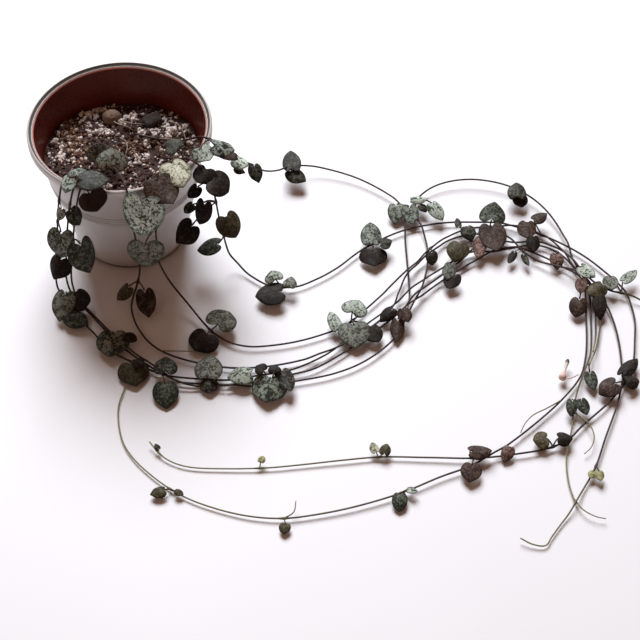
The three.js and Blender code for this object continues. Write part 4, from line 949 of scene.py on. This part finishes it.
def add_soil(settings):
    bottom = FLOOR_THICKNESS + SOIL_GAP
    rings = [step * SOIL_RING_STEP for step in range(SOIL_RING_COUNT, -1, -1)]
    profile = [(0, bottom), (inner_radius(bottom) - 1.2, bottom), (inner_radius(3) - 0.4, 3)]
    profile += [(inner_radius(height) - SOIL_CLEARANCE, height) for height in (20, 40, 56)]
    profile += [(ring, SOIL_LEVEL) for ring in rings]
    work = bmesh.new()
    spun(work, profile, SOIL_SIDES)
    top = (SOIL_LEVEL - 1) * MM
    for vertex in work.verts:
        if vertex.co.z > top:
            x, y = vertex.co.x / MM, vertex.co.y / MM
            reach = math.hypot(x, y)
            stretch = (inner_radius(soil_height(x, y)) - SOIL_CLEARANCE) / rings[0]
            x, y = x * stretch, y * stretch
            edge = min(1, (rings[0] - reach) / 1.5)
            height = soil_height(x, y) + edge * (rough_soil_height(x, y) - soil_height(x, y))
            vertex.co = Vector((x, y, height)) * MM
    peat = tuple(settings.peat_colour)
    skin = earthy("peat", darker(peat, 0.45), darker(peat, 1.25), 0.9, 0.5)
    add_piece("soil_body", work, [skin], ["potting_mix"])


# The least and greatest share of its size that a crumb has along each axis.
LEAST_SIDE = 0.6
GREATEST_SIDE = 1.2
CRUMB_DENT = 0.16
# Crumbs smaller than this have fewer faces.
FINE_CRUMB = 1.1


def grain_at(work, rng, place, size, detail):
    """One crumb: an icosphere squashed, turned and pushed about at random."""
    sides = [size * MM * rng.uniform(LEAST_SIDE, GREATEST_SIDE) for _ in range(3)]
    shape = Matrix.Diagonal((*sides, 1))
    turn = Quaternion(
        Vector([rng.uniform(-1, 1) for _ in range(3)]).normalized(), rng.uniform(0, 2 * math.pi)
    ).to_matrix().to_4x4()
    made = bmesh.ops.create_icosphere(
        work, subdivisions=detail, radius=1,
        matrix=Matrix.Translation(Vector(place) * MM) @ turn @ shape,
    )["verts"]
    for vertex in made:
        push = [rng.uniform(-CRUMB_DENT, CRUMB_DENT) * size * MM for _ in range(3)]
        vertex.co += Vector(push)


def scatter(work, rng, count, low, high, patches, spread_share):
    """Crumbs on the soil: some in patches of (x, y, reach in x, reach in y), the rest anywhere."""
    made = 0
    while made < count:
        if patches and rng.random() < spread_share:
            x0, y0, reach_x, reach_y = rng.choice(patches)
            x, y = rng.gauss(x0, reach_x / 2), rng.gauss(y0, reach_y / 2)
        else:
            angle = rng.uniform(0, 2 * math.pi)
            reach = SOIL_RADIUS * math.sqrt(rng.random())
            x, y = reach * math.cos(angle), reach * math.sin(angle)
        size = low + (high - low) * rng.random() ** 2.2
        if math.hypot(x, y) > inner_radius(SOIL_LEVEL) - 1.0 - size:
            continue
        place = (x, y, rough_soil_height(x, y) + 0.3 * size)
        grain_at(work, rng, place, size, 1 if size < FINE_CRUMB else 2)
        made += 1


PERLITE_PATCHES = [
    (-21, 32, 12, 8), (-18, 36, 8, 4), (1, 28, 9, 6), (-38, 10, 8, 7), (-15, 16, 8, 6),
    (13, 18, 6, 5), (8, -8, 8, 6), (30, 14, 8, 10), (-30, -6, 10, 8), (22, 30, 9, 7),
]
GRIT_PATCHES = [(-31, 11, 11, 12), (-26, -2, 10, 10), (-33, 20, 8, 6), (6, 2, 16, 10)]
BIG_LUMPS = [
    (27, 15.5, 2.6), (24, 12, 1.9), (13.5, 15, 1.9), (17, 13, 1.7), (8, -6.5, 1.9), (14, -6, 2.0),
    (-43, 17.5, 1.7), (-38, 8, 2.1), (-34, 3, 1.6), (-3, 23, 2.0), (3, 30, 1.8), (-22, 31, 2.0),
    (-17, 34, 1.7), (-26, 30, 1.6), (-14, 15, 1.8), (-9, 12, 1.6), (33, 20, 1.9), (36, 6, 1.8),
]


class BuildMix(bpy.types.Operator):
    """Build the potting mix with its perlite, grit and crumbs"""

    bl_idname = "hearts.build_mix"
    bl_label = "Potting mix"

    def execute(self, context):
        settings = context.scene.hearts_mix
        add_soil(settings)
        peat = tuple(settings.peat_colour)
        perlite = tuple(settings.perlite_colour)
        grit = tuple(settings.grit_colour)
        rng = random.Random(11)
        work = bmesh.new()
        for x, y, size in BIG_LUMPS:
            grain_at(work, rng, (x, y, soil_height(x, y) + 0.6), size, 2)
        scatter(work, rng, settings.perlite_count, 0.35, 1.35, PERLITE_PATCHES, 0.5)
        skin = earthy("perlite", darker(perlite, 0.62), perlite, 1.4, 0.2, 0.85)
        add_piece("perlite_grains", work, [skin], smooth=False)
        rng = random.Random(12)
        work = bmesh.new()
        scatter(work, rng, settings.grit_count, 0.3, 0.9, GRIT_PATCHES, 0.7)
        skin = earthy("grit", darker(grit, 0.45), darker(grit, 1.15), 0.8, 0.2, 0.85)
        add_piece("grit_grains", work, [skin], smooth=False)
        rng = random.Random(13)
        work = bmesh.new()
        scatter(work, rng, settings.crumb_count, 0.4, 1.7, [], 0)
        skin = earthy("crumbs", darker(peat, 0.5), darker(peat, 1.9), 0.35, 0.3, 0.9)
        add_piece("peat_crumbs", work, [skin], smooth=False)
        return {"FINISHED"}


ROOT_LINES = [
    [(-3, 21, 66), (0, 17, 68.5), (5, 15, 69), (11, 17, 66.5)],
    [(-6, 20, 65.5), (-3, 15.5, 68), (2, 13, 68.5), (6, 12, 66)],
    [(2, 22, 65.5), (4, 18.5, 68.5), (4.5, 15, 69), (3, 11, 66.5)],
    [(20, 8, 64.5), (25, 5, 67), (31, 4, 67.5), (36, 6, 65)],
    [(26, 22, 63), (30, 17, 65.8), (33, 11, 66), (35, 4, 64)],
    [(-2, 8, 65), (2, 3, 67), (3, -3, 67.5), (2, -8, 66)],
]


class BuildTuber(bpy.types.Operator):
    """Build the tuber, the chip of bark and the dry roots on the soil"""

    bl_idname = "hearts.build_tuber"
    bl_label = "Tuber and bark"

    def execute(self, context):
        settings = context.scene.hearts_mix
        skin_shade = tuple(settings.tuber_colour)
        work = bmesh.new()
        place = Matrix.Translation(Vector(TUBER_PLACE) * MM) @ Matrix.Diagonal((1, 0.92, 0.86, 1))
        bmesh.ops.create_icosphere(work, subdivisions=5, radius=(TUBER_RADIUS - 0.15) * MM, matrix=place)
        centre = Vector(TUBER_PLACE) * MM
        for vertex in work.verts:
            dent = noise.fractal(vertex.co * 420, 0.8, 2, 3)
            vertex.co = centre + (vertex.co - centre) * (0.97 + 0.05 * dent)
        skin = earthy("tuber_skin", darker(skin_shade, 0.5), darker(skin_shade, 1.2), 0.7, 0.25, 0.8)
        add_piece("tuber_body", work, [skin], ["tuber"])
        work = bmesh.new()
        bmesh.ops.create_cube(work, size=1, matrix=Matrix.Diagonal((*(Vector(BARK_SIZE) * MM * 0.98), 1)))
        bmesh.ops.bevel(
            work, geom=work.edges[:], offset=1.6 * MM, segments=3, profile=0.5,
            affect="EDGES", material=-1,
        )
        bmesh.ops.subdivide_edges(work, edges=work.edges[:], cuts=4, use_grid_fill=True)
        for vertex in work.verts:
            vertex.co *= 0.94 + 0.16 * noise.fractal(vertex.co * 260, 0.8, 2, 3)
        place = Matrix.Translation(Vector(BARK_PLACE) * MM)
        place = place @ Matrix.Rotation(0.5, 4, "Z") @ Matrix.Rotation(0.2, 4, "X")
        bmesh.ops.transform(work, matrix=place, verts=work.verts)
        bark = tuple(settings.bark_colour)
        skin = earthy("bark", darker(bark, 0.4), darker(bark, 1.5), 0.5, 0.5, 0.9)
        add_piece("bark_piece", work, [skin], ["bark_chip"])
        work = bmesh.new()
        for line in ROOT_LINES:
            points = [point * MM for point in spaced_points(line)]
            ends = len(points) - 1
            radii = [(0.32 - 0.14 * index / ends) * MM for index in range(len(points))]
            tube(work, points, radii, 6)
        bmesh.ops.recalc_face_normals(work, faces=work.faces)
        pale = linear(176, 158, 142)
        skin = earthy("dry_roots", darker(pale, 0.45), pale, 0.8, 0.1, 0.8)
        add_piece("dry_roots", work, [skin])
        return {"FINISHED"}


# ---- stems ----
def cubic_value(before, start, end, after, gaps, share):
    """A point of a centripetal curve between start and end."""
    gap_in, gap, gap_out = gaps
    leave = (start - before) / gap_in - (end - before) / (gap_in + gap) + (end - start) / gap
    arrive = (end - start) / gap - (after - start) / (gap + gap_out) + (after - end) / gap_out
    leave, arrive = leave * gap, arrive * gap
    square = share * share
    return (
        start + leave * share + (3 * (end - start) - 2 * leave - arrive) * square
        + (2 * (start - end) + leave + arrive) * square * share
    )


def spaced_points(route):
    """Evenly spaced points, in millimetres, on the smooth curve through a route's points."""
    points = [Vector(point) for point in route]
    points = [2 * points[0] - points[1]] + points + [2 * points[-1] - points[-2]]
    fine = []
    for index in range(1, len(points) - 2):
        quad = points[index - 1:index + 3]
        gaps = [math.sqrt((b - a).length) for a, b in zip(quad, quad[1:])]
        fine += [cubic_value(*quad, gaps, step / 12) for step in range(12)]
    fine.append(points[-2])
    travelled = [0.0]
    for before, after in zip(fine, fine[1:]):
        travelled.append(travelled[-1] + (after - before).length)
    count = max(4, round(travelled[-1] / SAMPLE_STEP))
    wanted = np.linspace(0, travelled[-1], count + 1)
    columns = [np.interp(wanted, travelled, [point[axis] for point in fine]) for axis in range(3)]
    return [Vector(point) for point in zip(*columns)]


def lay_over(samples, laid):
    """Lifts a stem in a low hump wherever it crosses one that is already laid."""
    beneath = np.array([other[:] for other in laid if other.z < LYING_HEIGHT]).reshape(-1, 3)
    crossings = []
    for index, sample in enumerate(samples):
        if sample.z < LYING_HEIGHT and len(beneath):
            apart = np.hypot(beneath[:, 0] - sample.x, beneath[:, 1] - sample.y)
            crossed = beneath[apart < CROSSING_WIDTH]
            if len(crossed):
                crossings.append((index, crossed[:, 2].max() + CROSSING_HEIGHT))
    fall = SAMPLE_STEP * CROSSING_SLOPE
    raised = [
        max([sample.z] + [height - abs(place - index) * fall for place, height in crossings])
        for index, sample in enumerate(samples)
    ]
    last = len(samples) - 1
    even = [
        (raised[max(0, index - 1)] + 2 * raised[index] + raised[min(last, index + 1)]) / 4
        for index in range(len(samples))
    ]
    return [Vector((sample.x, sample.y, height)) for sample, height in zip(samples, even)]


def laid_stems():
    routes, laid = {}, []
    for name, route in STEM_ROUTES.items():
        routes[name] = lay_over(spaced_points(route), laid)
        laid += routes[name]
    return routes


def nearest(samples, place):
    target = Vector(place)
    return min(range(len(samples)), key=lambda index: (samples[index] - target).length)


# The share of each stem, from its free end, that is young and pale.
YOUNG_SHARE = {
    "right_a": 0.28, "right_b": 0.08, "left_a": 0.3, "left_b": 0.2, "left_c": 0.1,
    "front_a": 0.08, "front_b": 0.08, "branch": 0.1,
}
# How much thicker a stem is where leaves grow, and how many samples away that ends.
NODE_SWELL = 0.75
NODE_REACH = 1.6


class BuildStems(bpy.types.Operator):
    """Build the trailing stems with their swollen nodes and side shoots"""

    bl_idname = "hearts.build_stems"
    bl_label = "Stems"

    def execute(self, context):
        settings = context.scene.hearts_stem
        skin = finish_of("stem_skin", stem_skin, settings)
        routes = laid_stems()
        for name, samples in routes.items():
            joints = [nearest(samples, place) for place, _ in LEAF_SETS.get(name, [])]
            joints += [nearest(samples, place) for place, _ in SMALL_LEAVES.get(name, [])]
            work = bmesh.new()
            youth = work.verts.layers.float.new("youth")
            last = len(samples) - 1
            radii, ages = [], []
            for index in range(last + 1):
                left = (last - index) / last
                young = max(0.0, 1 - left / YOUNG_SHARE[name])
                radius = settings.radius + (settings.tip_radius - settings.radius) * young
                apart = min([abs(index - joint) for joint in joints], default=NODE_REACH)
                swell = NODE_SWELL * max(0.0, 1 - apart / NODE_REACH)
                radii.append(radius * (1 + swell))
                ages.append(young)
            rings = tube(work, [sample * MM for sample in samples], radii, settings.sides)
            for ring, young in zip(rings, ages):
                shared(ring, youth, young)
            for radius, route in SIDE_SHOOTS.get(name, []):
                points = [point * MM for point in spaced_points(route)]
                ends = len(points) - 1
                thin = [radius * MM * (1 - 0.35 * index / ends) for index in range(ends + 1)]
                for ring in tube(work, points, thin, settings.sides):
                    shared(ring, youth, 0.75)
            bmesh.ops.recalc_face_normals(work, faces=work.faces)
            add_piece(name + "_stem", work, [skin], ["stem_" + name])
        return {"FINISHED"}


# ---- leaves ----
# The widest leaves are blunt: they have hardly any tip.
ROUND_WIDTH = 20
ROUND_TIP = -0.09

# How far a heart-shaped leaf reaches, by the angle in degrees from its tip round to its notch.
HEART_ANGLES = (0, 6, 14, 26, 40, 60, 80, 100, 120, 136, 148, 158, 168, 180)
HEART_REACHES = (1.14, 1.1, 1.05, 1.005, 0.985, 0.985, 1.0, 1.02, 1.045, 1.05, 1.0, 0.89, 0.7, 0.5)


def heart_outline(angle, sharpness):
    """How far a leaf reaches at an angle from its tip, for a heart of one unit."""
    turned = abs(math.degrees(angle))
    point = sharpness * math.exp(-(turned / 13) ** 2)
    return float(np.interp(turned, HEART_ANGLES, HEART_REACHES)) + point


def leaf_frame(base, tip, roll):
    along = (tip - base).normalized()
    up = Vector((0, 0, 1))
    up = (up - along * up.dot(along)).normalized()
    up.rotate(Quaternion(along, math.radians(roll)))
    across = up.cross(along)
    turn = Matrix((along, across, up)).transposed().to_4x4()
    return Matrix.Translation(base) @ turn


# How blunt the edge of a blade is: 1 is round, 0 is square.
EDGE_BLUNTNESS = 0.62
GROOVE_DEPTH = 0.13
GROOVE_WIDTH = 0.5


def leaf_blade(work, layers, leaf, settings, rng):
    """One plump heart-shaped leaf, from a squashed ball."""
    base, tip = Vector(leaf[0]), Vector(leaf[1])
    width, roll = leaf[2], leaf[3]
    reach_along = (tip - base).length
    half = width / 2
    place = leaf_frame(base, tip, roll)
    thickness = min(settings.thickness / MM, width * 0.09 + 0.4)
    seed, shade = rng.uniform(0, 400), rng.uniform(0.88, 1.12)
    sharpness = rng.uniform(-0.02, 0.1) if width < ROUND_WIDTH else ROUND_TIP
    cup = settings.cup * rng.uniform(0.2, 2.0)
    droop = rng.uniform(-0.05, 0.12)
    ripple = rng.uniform(0.01, 0.035) * width
    ripple_turn = rng.uniform(0, 2 * math.pi)
    made = bmesh.ops.create_uvsphere(
        work, u_segments=settings.sides, v_segments=settings.rings, radius=1,
    )["verts"]
    for vertex in made:
        x, y, z = vertex.co
        reach = min(1.0, math.hypot(x, y))
        angle = math.atan2(y, x)
        rim = heart_outline(angle, sharpness)
        along = reach_along * (LEAF_CENTRE + x * rim * (1 - LEAF_CENTRE) / TIP_REACH)
        across = y * rim * half
        share = along / reach_along
        sag = -cup * width * abs(across / half) ** 1.6
        sag -= droop * reach_along * (share - 0.4) ** 2 * 4
        sag += ripple * reach ** 3 * math.sin(3 * angle + ripple_turn)
        groove = GROOVE_DEPTH * math.exp(-(across / GROOVE_WIDTH) ** 2) * (1 - reach ** 4)
        plump = math.copysign(abs(z) ** EDGE_BLUNTNESS, z)
        height = sag + plump * thickness / 2 - groove
        vertex.co = place @ Vector((along, across, height)) * MM
        vertex[layers[0]] = (along - reach_along * LEAF_CENTRE, across, seed)
        vertex[layers[1]] = (0.5 + 0.5 * max(-1, min(1, z * 3)), reach, shade)
    return made


# Steps along a leaf's stalk, and the radius of a large and of a small leaf's stalk.
STALK_STEPS = 7
STALK_RADIUS = 0.42
THIN_STALK_RADIUS = 0.3
LARGE_LEAF_WIDTH = 6


def petiole_points(root, leaf):
    """A short stalk that leaves the stem and bends into the leaf."""
    base, tip = Vector(leaf[0]), Vector(leaf[1])
    end = base + (tip - base).normalized() * 0.16 * leaf[2]
    bend = base.lerp(root, 0.35) + Vector((0, 0, 0.12 * (base - root).length))
    points = []
    for step in range(STALK_STEPS + 1):
        share = step / STALK_STEPS
        points.append(root.lerp(bend, share).lerp(bend.lerp(end, share), share) * MM)
    return points


def leaf_cluster(sets, samples, settings, rng):
    """Leaves with their stalks as one piece of mesh work, and the finishes that they need."""
    work = bmesh.new()
    layers = [
        work.verts.layers.float_vector.new("leaf_place"),
        work.verts.layers.float_vector.new("leaf_side"),
    ]
    youth = work.verts.layers.float.new("youth")
    looks = []
    for place, leaves in sets:
        root = samples[nearest(samples, place)]
        for leaf in leaves:
            if leaf[4] not in looks:
                looks.append(leaf[4])
            made = leaf_blade(work, layers, leaf, settings, rng)
            for face in {face for vertex in made for face in vertex.link_faces}:
                face.material_index = looks.index(leaf[4]) + 1
            stalk = STALK_RADIUS if leaf[2] > LARGE_LEAF_WIDTH else THIN_STALK_RADIUS
            shares = [step / STALK_STEPS for step in range(STALK_STEPS + 1)]
            radii = [(stalk + 0.25 * abs(share - 0.5) ** 2) * MM for share in shares]
            for ring in tube(work, petiole_points(root, leaf), radii, 7):
                shared(ring, youth, 0.12)
    bmesh.ops.recalc_face_normals(work, faces=work.faces)
    skins = [FINISHES["stem_skin"]] + [finish_of("leaf_" + look, leaf_skin, look) for look in looks]
    return work, skins


class BuildLeaves(bpy.types.Operator):
    """Build the sets of larger leaves"""

    bl_idname = "hearts.build_leaves"
    bl_label = "Leaves"

    def execute(self, context):
        settings = context.scene.hearts_leaf
        routes = laid_stems()
        rng = random.Random(5)
        for name, sets in LEAF_SETS.items():
            for place, leaf_set in enumerate(sets, 1):
                work, skins = leaf_cluster([leaf_set], routes[name], settings, rng)
                node = f"leaves_{name}_{place}"
                add_piece(f"{name}_leaves_{place}", work, skins, [node])
        return {"FINISHED"}


class BuildSmallLeaves(bpy.types.Operator):
    """Build the small leaves that sit close to the stems"""

    bl_idname = "hearts.build_small_leaves"
    bl_label = "Small leaves"

    def execute(self, context):
        settings = context.scene.hearts_leaf
        routes = laid_stems()
        rng = random.Random(6)
        for name, sets in SMALL_LEAVES.items():
            work, skins = leaf_cluster(sets, routes[name], settings, rng)
            add_piece(name + "_small_leaves", work, skins)
        return {"FINISHED"}


# ---- flower ----
FLOWER_BASE = (238, -110.5, 4)
FLOWER_TIP = (242, -99.2, 5)
FLOWER_STALK = [(246.5, -109.5, 4.6), (243, -111.5, 4.8), (240, -112, 4.3), (237.6, -111.4, 3.8)]
FLOWER_PROFILE = [
    (0, -2.2), (0.9, -2.1), (1.7, -1.5), (2.15, -0.4), (2.1, 0.6), (1.6, 1.8), (1.1, 3.0),
    (0.85, 4.6), (0.8, 6.6), (0.95, 8.2), (1.15, 9.4), (1.1, 10.4), (0.7, 11.4), (0, 12),
]


class BuildFlower(bpy.types.Operator):
    """Build the flower bud with its swollen base and dark tip"""

    bl_idname = "hearts.build_flower"
    bl_label = "Flower bud"

    def execute(self, context):
        base, tip = Vector(FLOWER_BASE) * MM, Vector(FLOWER_TIP) * MM
        work = bmesh.new()
        spun(work, FLOWER_PROFILE, 20)
        height = work.verts.layers.float.new("bud_height")
        for vertex in work.verts:
            vertex[height] = vertex.co.z / MM
            angle = math.atan2(vertex.co.y, vertex.co.x)
            swell = 1 + 0.05 * math.cos(5 * angle)
            vertex.co.x *= swell
            vertex.co.y *= swell
        turn = Vector((0, 0, 1)).rotation_difference(tip - base).to_matrix().to_4x4()
        bmesh.ops.transform(work, matrix=Matrix.Translation(base) @ turn, verts=work.verts)
        stalk = [point * MM for point in spaced_points(FLOWER_STALK)]
        for ring in tube(work, stalk, [0.36 * MM] * len(stalk), 7):
            shared(ring, height, 3.0)
        bmesh.ops.recalc_face_normals(work, faces=work.faces)
        finish = Finish("flower_skin", 0.5)
        up = finish.attribute("bud_height", "Fac")
        fine = finish.grain(finish.place(), 1.6, 3)
        blush = finish.between(fine, 0.3, 0.7)
        pink = finish.mix(blush, linear(206, 172, 160), linear(232, 208, 198))
        pale = finish.mix(finish.between(up, 1.5, 5.0), pink, linear(216, 206, 194))
        finish.base(finish.mix(finish.between(up, 8.4, 9.8), pale, linear(60, 46, 44)))
        finish.bump(fine, 0.08, 0.4)
        add_piece("flower_bud", work, [finish.material], ["flower"])
        return {"FINISHED"}


# ---- stage ----
CAMERA_PLACE = (108.2, -634.3, 715.3)
CAMERA_TARGET = (108.2, -68.6, 0)
CAMERA_LENS = 92.8
KEY_PLACE = (-240, 2050, 2150)
KEY_SIZE = 1900
FILL_PLACE = (-700, -700, 900)
FILL_SIZE = 900
FLOOR_SIZE = 4000
KEY_SHADE = (0.91, 0.955, 1.0)
FILL_SHADE = (1.0, 0.85, 0.75)
SKY_SHADE = (1.0, 0.55, 0.34, 1)


def aimed(thing, place, target):
    """Puts a light or camera at place, looking at target, both in millimetres."""
    bpy.context.scene.collection.objects.link(thing)
    view = Vector(target) - Vector(place)
    thing.location = Vector(place) * MM
    thing.rotation_euler = view.to_track_quat("-Z", "Y").to_euler()
    return thing


def area_light(name, place, target, size, power, shade):
    light = bpy.data.lights.new(name, "AREA")
    light.shape = "DISK"
    light.size = size * MM
    light.energy = power
    light.color = shade
    return aimed(bpy.data.objects.new(name, light), place, target)


class BuildStage(bpy.types.Operator):
    """Set out the pale floor, the soft lights and the camera"""

    bl_idname = "hearts.build_stage"
    bl_label = "Stage"

    def execute(self, context):
        settings = context.scene.hearts_stage
        work = bmesh.new()
        bmesh.ops.create_grid(work, x_segments=1, y_segments=1, size=FLOOR_SIZE / 2 * MM)
        mesh = bpy.data.meshes.new("floor")
        work.to_mesh(mesh)
        work.free()
        finish = Finish("floor_white", 0.5)
        cloud = finish.grain(finish.place(), 0.004, 2)
        shade = tuple(settings.floor_colour)
        finish.base(finish.mix(finish.between(cloud, 0.3, 0.7), darker(shade, 0.97), shade))
        mesh.materials.append(finish.material)
        floor = bpy.data.objects.new("floor", mesh)
        context.scene.collection.objects.link(floor)
        area_light("key", KEY_PLACE, CAMERA_TARGET, KEY_SIZE, settings.key_power, KEY_SHADE)
        area_light("fill", FILL_PLACE, CAMERA_TARGET, FILL_SIZE, settings.fill_power, FILL_SHADE)
        world = bpy.data.worlds.new("surroundings")
        world.use_nodes = True
        background = world.node_tree.nodes["Background"]
        background.inputs["Color"].default_value = SKY_SHADE
        background.inputs["Strength"].default_value = settings.sky_strength
        context.scene.world = world
        context.scene.view_settings.view_transform = "Standard"
        camera = bpy.data.cameras.new("camera")
        camera.sensor_width = 36
        camera.lens = CAMERA_LENS
        camera.clip_start = 0.01
        viewer = bpy.data.objects.new("camera", camera)
        context.scene.camera = aimed(viewer, CAMERA_PLACE, CAMERA_TARGET)
        return {"FINISHED"}


# ---- the add-on ----
SETTINGS = {
    "hearts_pot": PotSettings,
    "hearts_mix": MixSettings,
    "hearts_stem": StemSettings,
    "hearts_leaf": LeafSettings,
    "hearts_stage": StageSettings,
}
OPERATORS = [
    BuildPot, BuildMix, BuildTuber, BuildStems, BuildLeaves, BuildSmallLeaves, BuildFlower, BuildStage,
]


class PlantPanel(bpy.types.Panel):
    """Lists the steps that build the plant, and their settings"""

    bl_idname = "VIEW3D_PT_hearts"
    bl_label = "String of Hearts"
    bl_space_type = "VIEW_3D"
    bl_region_type = "UI"
    bl_category = "Plant"

    def draw(self, context):
        for operator in OPERATORS:
            self.layout.operator(operator.bl_idname)
        for group in SETTINGS:
            box = self.layout.box()
            settings = getattr(context.scene, group)
            for name in settings.bl_rna.properties.keys():
                if name not in ("rna_type", "name"):
                    box.prop(settings, name)


def register():
    for group, kind in SETTINGS.items():
        bpy.utils.register_class(kind)
        setattr(bpy.types.Scene, group, bpy.props.PointerProperty(type=kind))
    for kind in [*OPERATORS, PlantPanel]:
        bpy.utils.register_class(kind)


def unregister():
    for kind in [PlantPanel, *reversed(OPERATORS)]:
        bpy.utils.unregister_class(kind)
    for group, kind in SETTINGS.items():
        delattr(bpy.types.Scene, group)
        bpy.utils.unregister_class(kind)


def main():
    register()
    for operator in OPERATORS:
        group, name = operator.bl_idname.split(".")
        getattr(getattr(bpy.ops, group), name)()


if __name__ == "__main__":
    main()
